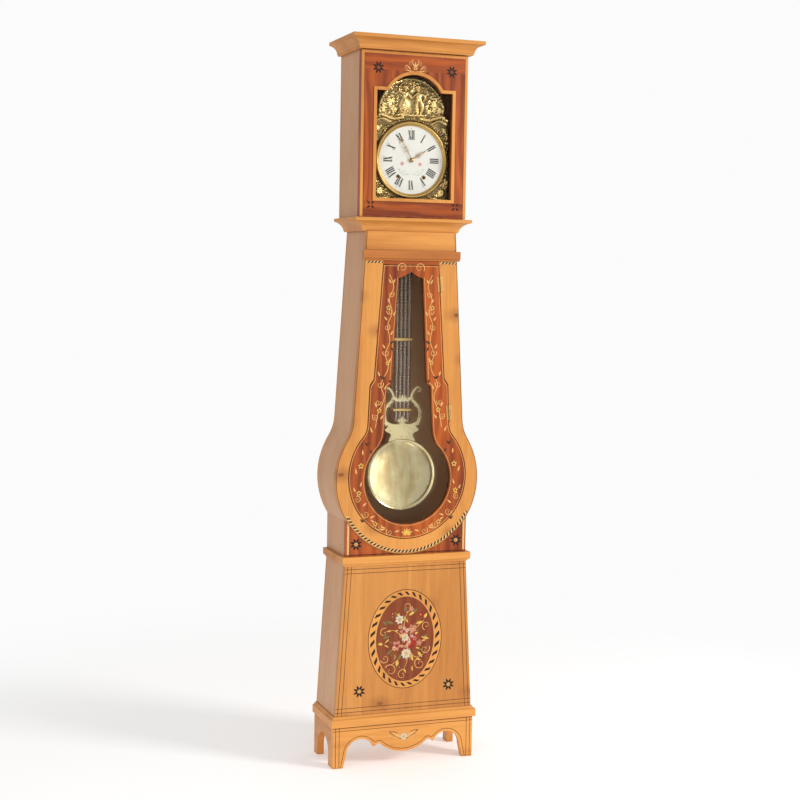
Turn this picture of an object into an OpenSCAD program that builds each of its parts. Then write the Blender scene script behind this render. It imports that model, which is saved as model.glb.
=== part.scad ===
// Grandfather clock with a violin-shaped trunk: case, two glazed doors, weight-driven
// movement, gridiron pendulum with a lyre and a round bob.
// Millimetres, +Z up, the front faces -Y. The origin is on the floor, at the middle of the box.

/* [Overall] */
// Height from the floor to the top of the cornice
case_h = 2300; // [1950:10:2760]
// Width over the plinth moulding
case_w = 493; // [460:1:600]
// Depth from the cornice's front to the back board
case_d = 248; // [230:1:300]

/* [Boards] */
// Thickness of the front boards
front_t = 20; // [16:1:24]
// Thickness of the side boards
side_t = 16; // [12:1:20]
// Thickness of the back boards
back_t = 12; // [9:1:15]
// How far the trunk front stands behind the hood door
trunk_step = 8; // [4:1:14]

/* [Base] */
// Height of the feet and aprons
foot_h = 134; // [125:1:162]
// Height of the plinth moulding
plinth_h = 33; // [26:1:40]
// Height of the base
base_h = 481; // [400:1:580]
// Height of the moulding on top of the base
base_rail_h = 30; // [24:1:36]
// How far the plinth moulding stands out sideways
plinth_out = 13.3; // [8:0.1:16]
// Width of the base at its top
base_top_w = 411.4; // [400:1:440]
// How far the top rail stands out from the base sideways
base_rail_out = 11.3; // [8:0.1:16]
// How far both base mouldings stand out in front
mould_front_out = 11; // [6:1:14]
// Width of the oval medallion
medal_w = 252; // [160:300]
// Height of the oval medallion
medal_h = 322; // [200:380]

/* [Trunk] */
// Width of the lower box
box_w = 408; // [340:1:410]
// Radius of the round belly
belly_r = 240; // [225:1:244]
// Width of the trunk at its top
trunk_top_w = 311; // [300:1:330]
// Width of the trunk just above the belly
waist_w = 368; // [356:1:384]
// Radius of the hollow curve between waist and belly
hollow_r = 130; // [100:1:160]
// Width of the trunk door at its top
door_top_w = 185.2; // [176:1:196]
// Radius of the trunk door's round end
door_r = 198; // [185:1:204]
// Width of the door's glass opening at its top
glass_top_w = 82; // [66:1:96]
// Radius of the round end of the glass opening
glass_r = 145; // [121:1:158]
// Gap round each door
door_gap = 2; // [1.7:0.1:2.4]

/* [Hood] */
// Width of the hood
hood_w = 354; // [340:1:380]
// Height of the hood
hood_h = 514; // [470:1:560]
// Height of the shoulder moulding
shoulder_h = 42; // [35:1:50]
// How far the shoulder moulding stands out from the hood
shoulder_out = 17; // [12:1:20]
// Height of the cornice
cornice_h = 42; // [35:1:50]
// How far the cornice stands out in front of the hood door
cornice_out = 44; // [36:1:52]
// How far the cornice stands out beyond the hood's sides
cornice_side_out = 40.5; // [34:0.5:48]
// Width of the hood's window
window_w = 252; // [244:1:264]
// Height of the hood window's straight sides
window_h = 331; // [310:1:345]
// Radius of the window's arched top
arch_r = 100; // [92:1:108]

/* [Movement] */
// Radius of the enamel dial
dial_r = 110; // [100:1:116]
// Width of the bezel's rim beyond the dial
bezel_t = 10; // [7:1:12]
// Radius of the cord drums
drum_r = 22; // [18:1:26]
// Length from the suspension to the middle of the bob
pendulum_l = 976; // [930:1:985]
// Radius of the pendulum bob
bob_r = 116; // [96:1:122]
// Thickness of the bob at its middle
bob_t = 22; // [18:1:27]
// Radius of the driving weights
weight_r = 38; // [31:1:42]
// Height of the driving weights
weight_h = 150; // [125:1:180]
// Radius of the weight cords
cord_r = 1.2; // [1:0.1:1.5]

/* [Hidden] */
$fn = 96;
eps = 0.01;

honey = "#e0a35a";
mahogany = "#a84c2a";
brass = "#c9a248";
steel = "#8f9092";
iron = "#3c3a38";
bronze = "#5a4630";
enamel = "#f4f1e8";
clear = [0.8, 0.9, 0.92, 0.35];
hemp = "#b9a070";

// Planes from front to back
y_back = case_d / 2;
y_hood = -case_d / 2 + cornice_out;
y_trunk = y_hood + trunk_step;
y_inner = y_back - back_t;
y_behind = y_trunk + front_t;
door_t = 22;
y_door_back = y_hood + door_t;
y_case = y_door_back + 1;

// Levels from the floor up, and from the top down
z_plinth = foot_h;
z_base = z_plinth + plinth_h;
z_rail = z_base + base_h;
z_box = z_rail + base_rail_h;
z_cornice = case_h - cornice_h;
z_hood = z_cornice - hood_h;
z_shoulder = z_hood - shoulder_h;
frieze_h = 90;
z_frame = z_shoulder - frieze_h;
head_h = 12;
z_door = z_frame - head_h;
z_belly = z_box + belly_r + 1;

// Base
base_half = case_w / 2 - plinth_out;
base_top_half = base_top_w / 2;
apron_half = base_half + 6;
apron_t = 22;
y_apron = y_trunk - 2;
z_medal = z_base + 237;
inlay_t = 2;
frame_in = 40;
foot_w = 34;

// Apron's cut edge: an arch beside each foot, a small step, and a round drop in the middle
side_arch_r = 57;
apron_arch_r = 49;
foot_lean = 10;
z_arch_mid = 41;
z_step = 60.5;
step_w = 12;
step_rise = 9.5;
step_lap = 4;
drop_r = 118;
drop_z = 22;

// Trunk outline
top_half = trunk_top_w / 2;
waist_half = waist_w / 2;
z_waist = z_belly + 198;
flare = (waist_half - top_half) / (z_door - z_waist);
shoulder_half = top_half - flare * (z_shoulder - z_door);
shoulder_in = 16;

// Trunk door outline, from its top to its round end
door_half = door_top_w / 2;
z_notch = z_belly + 324;
notch_h = 30;
stile_w = 65;
notch_half = top_half + flare * (z_door - z_notch) - stile_w + 6;
neck_half = notch_half + 14;
z_neck = z_notch - notch_h;
z_door_r = z_belly + 9;
neck_flare = 0.043;
door_hollow_r = 60;

// Glass opening of the trunk door
glass_half = glass_top_w / 2;
z_glass = z_door - 42;
glass_notch_half = notch_half - 57;
glass_neck_half = glass_notch_half + 14;
z_glass_r = z_belly + 1;
glass_hollow_r = 90;
rebate = 6;
glass_t = 3;
fit_gap = 0.3;

// Hinges: slim knuckles on the faces, the trunk pair on a leaning axis
knuckle_r = 2.6;
pin_r = 1.2;
pin_gap = 0.06;
leaf_t = 0.8;
leaf_lap = 0.4;
leaf_w = 7;
hinge_l = 48;
axis_off = 3.1;
z_hinge_top = z_door - 60;
z_hinge_low = z_belly + 211;
axis_reach = 3.4;
x_hinge_top = door_half + door_slope() * (z_door - z_hinge_top) + axis_reach;
x_hinge_low = neck_half + neck_flare * (z_neck - z_hinge_low) + axis_reach;
hinge_lean = atan((x_hinge_low - x_hinge_top) / (z_hinge_top - z_hinge_low));
hood_hinge_in = 90;

// Hood
hood_half = hood_w / 2;
cornice_in = 30;
y_cornice = y_hood - cornice_out + cornice_side_out;
window_half = window_w / 2;
z_window = z_hood + 61;
z_arch = z_window + window_h - 48;
trim_w = 10;
trim_t = 3;

// Dial and movement
z_dial = z_window + 122;
y_dial = y_hood + 26;
y_mask = y_dial + 4;
mask_hole_r = 76;
winding_x = 43;
winding_z = z_dial - 52.5;
y_front_plate = y_dial + 72;
plate_t = 3;
y_back_plate = y_front_plate + 73;
plate_half = 72;
z_seat = z_hood + 26;
seat_t = 18;
seat_out = 12;
cord_hole_r = 8;
z_cage = z_seat + seat_t;
cage_h = 200;
pillar_r = 4;
pivot_r = 2;
pivot_gap = 0.06;
arbor_r = 3;
drum_y0 = y_front_plate + 24;
drum_l = 36;
drum_cheek = 3;
great_r = 40;
y_great = drum_y0 + drum_l + 2 * drum_cheek + 0.5;
wheel_t = 2.5;
z_pivot = z_dial - 24;
z_escape = z_pivot - 38;
escape_r = 26;
centre_r = 50;
anchor_arm = 22;
y_anchor = y_front_plate + 6;
y_escape = y_anchor + 0.5;
y_centre = y_escape + 6;
hand_t = 1;
tooth_h = 2;

// Bell and hammer above the plates
bell_r = 45;
bell_t = 3;
bell_rise = 28;
bell_y = y_front_plate + 36;
hammer_x = 62;
hammer_l = 88;
hammer_stem = 3;
hammer_head_r = 6;
hammer_head_l = 16;
z_hammer = z_cage + 150;

// Motion work behind the dial
y_motion = y_mask + 10;
minute_wheel_x = 27;
pipe_r = 3.9;
cannon_r = 3;
cannon_wheel_r = 9;
minute_pinion_r = 6;
mesh_gap = 0.4;

// Pendulum
y_pendulum = y_front_plate - 26;
z_bob = z_pivot - pendulum_l;
rod_r = 2.5;
cock_pin_r = 1.5;
crutch_l = 56;
crutch_pin_r = 1;
grid_pitch = 13.7;
grid_rod_r = 3.2;
plain_rod_r = 1.6;
z_grid_top = z_pivot - 215;
lyre_t = 6;
z_lyre = z_bob + bob_r + 52;
lyre_h = 134;
lyre_half = 62;
lyre_arm = 15;
lyre_bow_z = 41;
lyre_neck_half = 45;
lyre_neck_h = 46;
lyre_stem = 14;
grid_bar_h = 16;
grid_bar_t = 10;
grid_cap_h = 8;
z_grid_bar = z_lyre + 262;

// Weights
weight_x = winding_x + drum_r + cord_r;
weight_y = drum_y0 + drum_cheek + drum_l / 2;
hook_h = 16;
z_weight = z_seat - 22 - weight_h - hook_h;
z_cord_top = winding_z;

function door_slope() = (notch_half - door_half) / (z_door - z_notch);

// ---------- shared shapes ----------

// Stands a flat outline (across, up) upright and gives it a depth from y0 back to y1
module upright(y0, y1) {
    translate([0, y1, 0]) rotate([90, 0, 0]) linear_extrude(y1 - y0) children();
}

// A round bar along Y
module bar_y(r, y0, y1) {
    translate([0, y0, 0]) rotate([-90, 0, 0]) cylinder(r = r, h = y1 - y0);
}

module both_sides() {
    children();
    mirror([1, 0, 0]) children();
}

module right_part(h) {
    intersection() {
        children();
        square([case_w, h]);
    }
}

// A moulding frame round the front and the two sides of a case, open at the back.
// Its child is the section: across is outwards from the case's face, up is up, from z0 to z0 + h.
module mitred(half, y_front, y_end, reach, inward, z0, h) {
    far = half + reach;
    lap = 10;
    difference() {
        intersection() {
            translate([-far, y_front, 0]) rotate([90, 0, 90]) linear_extrude(2 * far) mirror([1, 0]) {
                children();
                translate([y_front - y_end, z0]) square([y_end - y_front - lap, h]);
            }
            upright(y_front - reach, y_end) {
                translate([half, 0]) children();
                mirror([1, 0]) translate([half, 0]) children();
                translate([lap - half, z0]) square([2 * (half - lap), h]);
            }
        }
        translate([inward - half, y_front + inward, z0 - 1])
            cube([2 * (half - inward), y_end - y_front, h + 2]);
    }
}

// A violin outline: sloping sides that sweep through a hollow curve into a round end
module violin(x_top, z_top, slope, r, z_round, hollow, grow = 0) {
    lean = atan(slope);
    x0 = x_top + grow / cos(lean);
    round_r = r + grow;
    curve_r = hollow - grow;
    reach_out = x0 * cos(lean) + (z_top - z_round) * sin(lean) + curve_r;
    reach_up = sqrt(pow(round_r + curve_r, 2) - pow(reach_out, 2));
    fx = reach_out * cos(lean) - reach_up * sin(lean);
    fz = z_round + reach_out * sin(lean) + reach_up * cos(lean);
    line_x = fx - curve_r * cos(lean);
    line_z = fz - curve_r * sin(lean);
    part = round_r / (round_r + curve_r);
    difference() {
        union() {
            translate([0, z_round]) circle(r = round_r, $fn = 180);
            polygon([
                [x0, z_top], [-x0, z_top], [-line_x, line_z], [-fx, fz],
                [-fx * part, z_round + (fz - z_round) * part], [0, z_round],
                [fx * part, z_round + (fz - z_round) * part], [fx, fz], [line_x, line_z]
            ]);
        }
        for (side = [-1, 1]) translate([side * fx, fz]) circle(r = curve_r);
    }
}

module trunk_outline(grow = 0) {
    violin(shoulder_half, z_shoulder, flare, belly_r, z_belly, hollow_r, grow);
}

// A two-curve step between a narrow upper part and a wider lower part
module stepped(x_top, z_top, x_notch, z_notch_top, x_neck, step_h, grow) {
    steps = 8;
    ogee = [for (i = [0:steps]) [
        x_notch + grow + (x_neck - x_notch) * (1 - cos(180 * i / steps)) / 2,
        z_notch_top + grow - step_h * i / steps
    ]];
    polygon(concat(
        [[-x_top - grow, z_top]], [for (point = ogee) [-point[0], point[1]]],
        [[-x_neck - grow, z_notch_top - step_h - 1], [x_neck + grow, z_notch_top - step_h - 1]],
        [for (i = [steps:-1:0]) ogee[i]], [[x_top + grow, z_top]]
    ));
}

module door_outline(grow = 0) {
    stepped(door_half, z_door - door_gap + grow, notch_half, z_notch, neck_half, notch_h, grow);
    violin(neck_half, z_neck + grow, neck_flare, door_r, z_door_r, door_hollow_r, grow);
}

// The glass opening: an arched head with a raised point, a narrow run, a step and a round end
module glass_outline(grow = 0) {
    steps = 10;
    rise = 20;
    head = [for (i = [-steps:steps]) [
        -i / steps * (glass_half + grow),
        z_glass + grow + rise * pow(1 - abs(i) / steps, 1.6)
    ]];
    polygon(concat([[glass_half + grow, z_glass - 1]], head, [[-glass_half - grow, z_glass - 1]]));
    stepped(glass_half, z_glass, glass_notch_half, z_notch - 18, glass_neck_half, 12, grow);
    violin(glass_neck_half, z_notch - 29 + grow, 0.06, glass_r, z_glass_r, glass_hollow_r, grow);
}

module window_outline(grow = 0) {
    translate([-window_half - grow, z_window - grow]) square([window_w + 2 * grow, window_h + 2 * grow]);
    translate([0, z_arch]) circle(r = arch_r + grow, $fn = 128);
}

module base_outline(thin = 0, z0 = z_base, z1 = z_rail) {
    polygon([
        [thin - base_half, z0], [base_half - thin, z0],
        [base_top_half - thin, z1], [thin - base_top_half, z1]
    ]);
}

module oval(w, h, grow = 0) {
    polygon([for (i = [0:71]) [(w / 2 + grow) * cos(5 * i), z_medal + (h / 2 + grow) * sin(5 * i)]]);
}

// A toothed wheel standing in the XZ plane, from y0 back
module wheel(teeth, r, y0, w, bore, spokes = 0) {
    root = r - tooth_h;
    pitch = 360 / teeth;
    upright(y0, y0 + w) difference() {
        union() {
            circle(r = root);
            for (i = [0:teeth - 1]) rotate(i * pitch) polygon([
                [root - 0.5, -root * sin(pitch * 0.27)], [r, -r * sin(pitch * 0.12)],
                [r, r * sin(pitch * 0.12)], [root - 0.5, root * sin(pitch * 0.27)]
            ]);
        }
        circle(r = bore);
        if (spokes > 0) for (i = [0:spokes - 1]) rotate((i + 0.5) * 360 / spokes)
            translate([root * 0.54, 0]) circle(r = root * 0.27);
    }
}

// Hinge parts along Z at the origin. The leaf plane is x = -axis_off on the case side.
module hinge_fixed() {
    difference() {
        union() {
            for (z = [-hinge_l / 2, hinge_l / 6]) {
                translate([0, 0, z]) cylinder(r = knuckle_r, h = hinge_l / 3);
                translate([-axis_off, 0, z]) cube([axis_off, leaf_t, hinge_l / 3]);
            }
            translate([-axis_off, 0, -hinge_l / 2]) cube([leaf_t, leaf_w + knuckle_r, hinge_l]);
            translate([0, 0, -hinge_l / 2 - 2]) cylinder(r = knuckle_r, h = 2);
            translate([0, 0, hinge_l / 2]) cylinder(r = knuckle_r, h = 2);
        }
        translate([-axis_off - 1, -knuckle_r - 1, -hinge_l / 6 - fit_gap])
            cube([axis_off + knuckle_r + 2, 2 * knuckle_r + 2.6, hinge_l / 3 + 2 * fit_gap]);
    }
    cylinder(r = pin_r, h = hinge_l, center = true);
}

module hinge_moving() {
    difference() {
        union() {
            cylinder(r = knuckle_r, h = hinge_l / 3, center = true);
            translate([-axis_off, -leaf_t, -hinge_l / 6]) cube([axis_off, leaf_t, hinge_l / 3]);
            translate([-axis_off, -leaf_w - knuckle_r, -hinge_l / 2]) cube([leaf_t, leaf_w, hinge_l]);
            translate([-axis_off, -knuckle_r - leaf_lap, -hinge_l / 6])
                cube([leaf_t, knuckle_r + leaf_lap, hinge_l / 3]);
        }
        cylinder(r = pin_r + pin_gap, h = hinge_l, center = true);
    }
}

// Puts a hinge on the trunk door's leaning axis
module on_trunk_axis() {
    for (z = [z_hinge_low, z_hinge_top])
        translate([x_hinge_top + (z_hinge_top - z) * tan(hinge_lean), y_trunk - axis_off, z])
            rotate([0, -hinge_lean, 0]) rotate([0, 0, -90]) children();
}

module on_hood_axis() {
    for (z = [z_hood + hood_hinge_in, z_cornice - hood_hinge_in])
        translate([hood_half + axis_off, y_door_back + 0.5, z]) children();
}

// ---------- base ----------

module apron_cut() {
    foot_in = apron_half - foot_w;
    step_in = foot_in - foot_lean - 2 * apron_arch_r + step_lap;
    difference() {
        union() {
            polygon([
                [-foot_in, -1], [foot_in, -1],
                [foot_in - foot_lean, z_arch_mid], [foot_lean - foot_in, z_arch_mid]
            ]);
            for (side = [-1, 1]) translate([side * (foot_in - foot_lean - apron_arch_r), z_arch_mid])
                circle(r = apron_arch_r);
            polygon([
                [-step_in, z_arch_mid - 1], [step_in, z_arch_mid - 1],
                [step_in, z_step], [step_in - step_w, z_step + step_rise],
                [step_w - step_in, z_step + step_rise], [-step_in, z_step]
            ]);
        }
        translate([0, foot_h + drop_z]) circle(r = drop_r);
    }
}

module front_apron() {
    color(honey) upright(y_apron, y_apron + apron_t) difference() {
        translate([-apron_half, 0]) square([2 * apron_half, foot_h]);
        apron_cut();
    }
}

module side_apron() {
    y_mid = (y_apron + apron_t + y_back) / 2 - 5;
    difference() {
        translate([apron_half - apron_t, y_apron + apron_t, 0])
            cube([apron_t, y_back - y_apron - apron_t, foot_h]);
        translate([0, y_mid, 33]) rotate([0, 90, 0]) cylinder(r = side_arch_r, h = case_w);
        translate([0, y_mid - side_arch_r, -1]) cube([case_w, 2 * side_arch_r, 34]);
    }
}

module right_apron() {
    color(honey) side_apron();
}

module left_apron() {
    color(honey) mirror([1, 0, 0]) side_apron();
}

module plinth_moulding() {
    y_face = y_trunk - mould_front_out + plinth_out;
    color(honey) mitred(base_half, y_face, y_back, plinth_out, frame_in, z_plinth, plinth_h)
        difference() {
            translate([-50, z_plinth]) square([50 + plinth_out, plinth_h]);
            translate([plinth_out + 2, z_base + 2]) circle(r = 11);
        }
}

module base_floor() {
    floor_half = base_half - side_t - 3;
    color(honey) translate([-floor_half, y_behind, z_base])
        cube([2 * floor_half, y_inner - y_behind, side_t]);
}

module base_front() {
    color(honey) difference() {
        upright(y_trunk, y_behind) base_outline();
        upright(y_trunk - 1, y_trunk + inlay_t) oval(medal_w, medal_h, 0.1);
    }
}

module base_side() {
    upright(y_behind, y_inner) right_part(case_h) difference() {
        base_outline();
        base_outline(side_t, z_base - eps, z_rail + eps);
    }
}

module base_right_side() {
    color(honey) base_side();
}

module base_left_side() {
    color(honey) mirror([1, 0, 0]) base_side();
}

module medallion() {
    color(honey) upright(y_trunk, y_trunk + inlay_t) oval(medal_w, medal_h);
}

module base_rail() {
    y_face = y_trunk - mould_front_out + base_rail_out;
    color(honey) mitred(base_top_half, y_face, y_back, base_rail_out, frame_in, z_rail, base_rail_h)
        difference() {
            translate([-50, z_rail]) square([50 + base_rail_out, base_rail_h]);
            translate([base_rail_out + 3, z_rail - 3]) circle(r = 12);
        }
}

// ---------- trunk ----------

module back_board() {
    color(honey) difference() {
        upright(y_inner, y_back) {
            base_outline();
            trunk_outline();
            translate([-box_w / 2, z_rail]) square([box_w, z_belly - z_rail]);
            translate([shoulder_in - shoulder_half, z_shoulder - eps])
                square([2 * (shoulder_half - shoulder_in), shoulder_h + eps]);
        }
        for (z = [z_box + 60, z_shoulder - 52]) translate([0, 0, z]) bar_y(3, y_inner - 1, y_back + 1);
        upright(y_inner - 1, y_back + 1) for (side = [-1, 1])
            translate([side * (case_w / 2 + base_top_half - frame_in) - case_w / 2, z_rail])
                square([case_w, base_rail_h]);
    }
}

module box_spandrels() {
    color(mahogany) upright(y_trunk + 2, y_behind) difference() {
        translate([-box_w / 2, z_box]) square([box_w, z_belly - z_box]);
        translate([0, z_belly]) circle(r = belly_r, $fn = 180);
    }
}

module box_sides() {
    color(honey) upright(y_behind, y_inner) both_sides() difference() {
        translate([box_w / 2 - side_t, z_box]) square([side_t, z_belly - z_box]);
        translate([0, z_belly]) circle(r = belly_r, $fn = 180);
    }
}

module trunk_frame() {
    color(honey) upright(y_trunk, y_behind) difference() {
        intersection() {
            trunk_outline();
            translate([-case_w, 0]) square([2 * case_w, z_frame]);
        }
        door_outline(door_gap);
    }
}

module trunk_side() {
    upright(y_behind, y_inner) difference() {
        right_part(z_shoulder) difference() {
            trunk_outline();
            trunk_outline(-side_t);
            square([box_w / 2 - side_t, z_belly]);
        }
        translate([0, z_shoulder]) square([case_w, side_t]);
    }
}

module trunk_right_side() {
    color(honey) trunk_side();
}

module trunk_left_side() {
    color(honey) mirror([1, 0, 0]) trunk_side();
}

module frieze() {
    color(honey) upright(y_trunk + 2, y_behind) intersection() {
        trunk_outline();
        translate([-case_w, z_frame]) square([2 * case_w, frieze_h]);
    }
}

module door_hood_moulding() {
    mould_h = 31;
    half = top_half + 7;
    color(honey) translate([-half, 0, 0]) rotate([90, 0, 90]) linear_extrude(2 * half) difference() {
        translate([y_trunk - 11, z_frame]) square([13, mould_h]);
        translate([y_trunk - 13, z_frame - 2]) circle(r = 9);
    }
}

module trunk_door() {
    color(mahogany) upright(y_trunk, y_trunk + rebate + glass_t) difference() {
        door_outline();
        glass_outline();
    }
    color(mahogany) upright(y_trunk + rebate + glass_t, y_behind) difference() {
        door_outline();
        glass_outline(rebate);
    }
}

module trunk_door_glass() {
    y_glass = y_trunk + rebate + glass_t;
    color(clear) upright(y_glass, y_glass + glass_t) glass_outline(rebate - fit_gap);
}

module trunk_door_beads() {
    color(mahogany) upright(y_trunk + rebate + 2 * glass_t, y_behind - 1) difference() {
        glass_outline(rebate - fit_gap);
        glass_outline(1);
    }
}

module trunk_hinges() {
    color(bronze) on_trunk_axis() hinge_fixed();
}

module trunk_door_leaves() {
    color(bronze) on_trunk_axis() hinge_moving();
}

// ---------- hood ----------

module shoulder_moulding() {
    reach = hood_half + shoulder_out - shoulder_half;
    y_face = y_hood - shoulder_out + reach;
    color(honey) mitred(shoulder_half, y_face, y_back, reach, shoulder_in, z_shoulder, shoulder_h)
        difference() {
            translate([-30, z_shoulder]) square([30 + reach, shoulder_h]);
            translate([reach + 4, z_shoulder - 6]) circle(r = shoulder_h - 4);
        }
}

module seat_board() {
    color(honey) difference() {
        translate([side_t - hood_half, y_front_plate - seat_out, z_seat])
            cube([hood_w - 2 * side_t, y_inner - y_front_plate + seat_out, seat_t]);
        for (side = [-1, 1]) translate([side * weight_x, weight_y, z_seat - 1])
            cylinder(r = cord_hole_r, h = seat_t + 2);
    }
}

module hood_right_side() {
    color(honey) translate([hood_half - side_t, y_case, z_hood]) cube([side_t, y_inner - y_case, hood_h]);
}

module hood_left_side() {
    color(honey) mirror([1, 0, 0]) translate([hood_half - side_t, y_case, z_hood])
        cube([side_t, y_inner - y_case, hood_h]);
}

module hood_back() {
    color(honey) translate([-hood_half, y_inner, z_hood]) cube([hood_w, back_t, hood_h]);
}

module hood_top() {
    color(honey) translate([cornice_in - hood_half, y_cornice + cornice_in, z_cornice])
        cube([hood_w - 2 * cornice_in, y_back - y_cornice - cornice_in, side_t]);
}

module cornice() {
    out = cornice_side_out;
    color(honey) mitred(hood_half, y_cornice, y_back, out, cornice_in, z_cornice, cornice_h) difference() {
        translate([-50, z_cornice]) square([50 + out, cornice_h]);
        translate([out + 1, z_cornice + 3]) circle(r = cornice_h - 14);
        translate([12, z_cornice - 1]) square([out, 6]);
    }
}

module hood_door() {
    color(mahogany) upright(y_hood, y_hood + rebate + 4) difference() {
        translate([-hood_half, z_hood + door_gap]) square([hood_w, hood_h - 2 * door_gap]);
        window_outline();
    }
    color(mahogany) upright(y_hood + rebate + 4, y_door_back) difference() {
        translate([-hood_half, z_hood + door_gap]) square([hood_w, hood_h - 2 * door_gap]);
        window_outline(rebate);
    }
}

module hood_door_moulding() {
    color(honey) upright(y_hood - trim_t, y_hood) difference() {
        window_outline(trim_w);
        window_outline();
    }
}

module hood_door_glass() {
    color(clear) upright(y_hood + rebate + 4, y_hood + rebate + 4 + glass_t) window_outline(rebate - fit_gap);
}

module hood_door_beads() {
    color(mahogany) upright(y_hood + rebate + 4 + glass_t, y_door_back - 1) difference() {
        window_outline(rebate - fit_gap);
        window_outline(1);
    }
}

module hood_hinges() {
    color(bronze) on_hood_axis() hinge_fixed();
}

module hood_door_leaves() {
    color(bronze) on_hood_axis() hinge_moving();
}

// ---------- dial and movement ----------

module at_dial() {
    translate([0, 0, z_dial]) children();
}

module embossed_front() {
    half = window_half - 2;
    color(brass) upright(y_mask, y_mask + 2) difference() {
        union() {
            translate([-half, z_window]) square([2 * half, window_h - 6]);
            translate([0, z_arch - 16]) circle(r = arch_r + 11);
        }
        translate([0, z_dial]) circle(r = mask_hole_r);
    }
    color(brass) for (x = [-1, 1], z = [z_window + 12, z_cage + cage_h - 8])
        translate([x * (plate_half - 8), 0, z]) bar_y(pillar_r, y_mask + 2, y_front_plate);
}

module dial() {
    color(enamel) difference() {
        at_dial() bar_y(dial_r, y_dial, y_mask);
        at_dial() bar_y(pipe_r + 0.6, y_dial - 1, y_mask + 1);
        for (side = [-1, 1]) translate([side * winding_x, 0, winding_z]) bar_y(5, y_dial - 1, y_mask + 1);
    }
}

module bezel() {
    color(brass) at_dial() rotate([90, 0, 0]) translate([0, 0, -y_mask]) rotate_extrude() difference() {
        translate([dial_r - 4, 0]) square([bezel_t + 4, y_mask - y_dial + 7]);
        translate([0, -1]) square([dial_r + fit_gap, y_mask - y_dial + 1]);
        translate([dial_r - 10, y_mask - y_dial + 9]) circle(r = 8);
    }
}

module plate_outline() {
    translate([-plate_half, z_cage]) square([2 * plate_half, cage_h]);
}

module plate_bores() {
    for (side = [-1, 1]) translate([side * winding_x, winding_z]) circle(r = pivot_r + 1 + pivot_gap);
    translate([0, z_dial]) circle(r = pivot_r + pivot_gap);
    translate([0, z_escape]) circle(r = pivot_r + pivot_gap);
}

module front_plate() {
    color(brass) difference() {
        upright(y_front_plate, y_front_plate + plate_t) difference() {
            plate_outline();
            plate_bores();
        }
        translate([0, 0, z_pivot])
            bar_y(pivot_r + pivot_gap, y_front_plate - 20, y_front_plate + plate_t + 1);
    }
    color(brass) difference() {
        translate([0, 0, z_pivot]) bar_y(5, y_front_plate - 8, y_front_plate);
        translate([0, 0, z_pivot])
            bar_y(pivot_r + pivot_gap, y_front_plate - 20, y_front_plate + plate_t + 1);
    }
    // The cock that carries the pendulum's pin in front of the plate
    color(brass) {
        translate([-4, y_pendulum + 3, z_pivot + 10]) cube([8, y_front_plate - y_pendulum - 3, 5]);
        translate([-4, y_pendulum + 3, z_pivot - 4]) cube([8, 2.5, 15]);
        translate([0, 0, z_pivot]) bar_y(cock_pin_r, y_pendulum - 5, y_pendulum + 4);
    }
}

module back_plate() {
    color(brass) upright(y_back_plate, y_back_plate + plate_t) difference() {
        plate_outline();
        plate_bores();
    }
}

module pillars() {
    color(steel) for (x = [-1, 1], z = [z_cage + 12, z_cage + cage_h - 12])
        translate([x * (plate_half - 22), 0, z]) bar_y(pillar_r, y_front_plate + plate_t, y_back_plate);
}

// A cord drum with its great wheel and its winding square
module drum() {
    translate([0, 0, winding_z]) {
        bar_y(drum_r, drum_y0, drum_y0 + drum_l + 2 * drum_cheek);
        for (y = [drum_y0, drum_y0 + drum_l + drum_cheek]) bar_y(drum_r + 4, y, y + drum_cheek);
        bar_y(arbor_r + 1.5, y_front_plate + plate_t + 0.5, drum_y0);
        bar_y(pivot_r + 1, y_dial + 1, y_back_plate + plate_t);
        bar_y(arbor_r + 1.5, y_great + wheel_t, y_back_plate - 0.5);
        bar_y(arbor_r + 6, drum_y0 + drum_l + 2 * drum_cheek, y_great);
    }
    translate([0, 0, winding_z]) wheel(72, great_r, y_great, wheel_t, 2);
}

module going_drum() {
    color(brass) translate([winding_x, 0, 0]) drum();
}

module strike_drum() {
    color(brass) translate([-winding_x, 0, 0]) drum();
}

module centre_wheel() {
    color(brass) at_dial() {
        wheel(80, centre_r, y_centre, wheel_t, 1, 5);
        bar_y(pivot_r, y_motion - 1, y_back_plate + plate_t);
        bar_y(6, y_centre + wheel_t, y_centre + wheel_t + 4);
    }
}

module escape_wheel() {
    color(brass) translate([0, 0, z_escape]) {
        wheel(30, escape_r, y_escape, wheel_t, 1, 4);
        bar_y(pivot_r, y_front_plate, y_back_plate + plate_t);
        wheel(12, z_dial - z_escape - centre_r - mesh_gap, y_centre - 1, wheel_t + 2, 1);
    }
}

module anchor() {
    color(steel) translate([0, 0, z_pivot]) {
        bar_y(pivot_r, y_pendulum + 7, y_anchor + 5);
        upright(y_anchor, y_anchor + 4) {
            circle(r = 5);
            translate([-anchor_arm, -1.5]) square([2 * anchor_arm, 4]);
            for (side = [-1, 1]) translate([side * anchor_arm - 1.5, -16]) square([3, 17]);
        }
        upright(y_pendulum + 8, y_pendulum + 10) {
            translate([-1.5, -crutch_l - 4]) square([3, crutch_l + 4]);
            circle(r = 4);
        }
        translate([0, 0, -crutch_l]) bar_y(crutch_pin_r, y_pendulum - 4, y_pendulum + 9);
    }
}

module minute_wheel() {
    color(brass) translate([minute_wheel_x, 0, z_dial]) {
        wheel(36, minute_wheel_x - cannon_wheel_r - mesh_gap, y_motion + 0.5, 2, 1, 4);
        bar_y(1.5, y_motion - 4.5, y_front_plate);
        wheel(10, minute_pinion_r, y_motion - 4.5, 3.5, 1);
    }
}

// ---------- hands ----------

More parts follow.
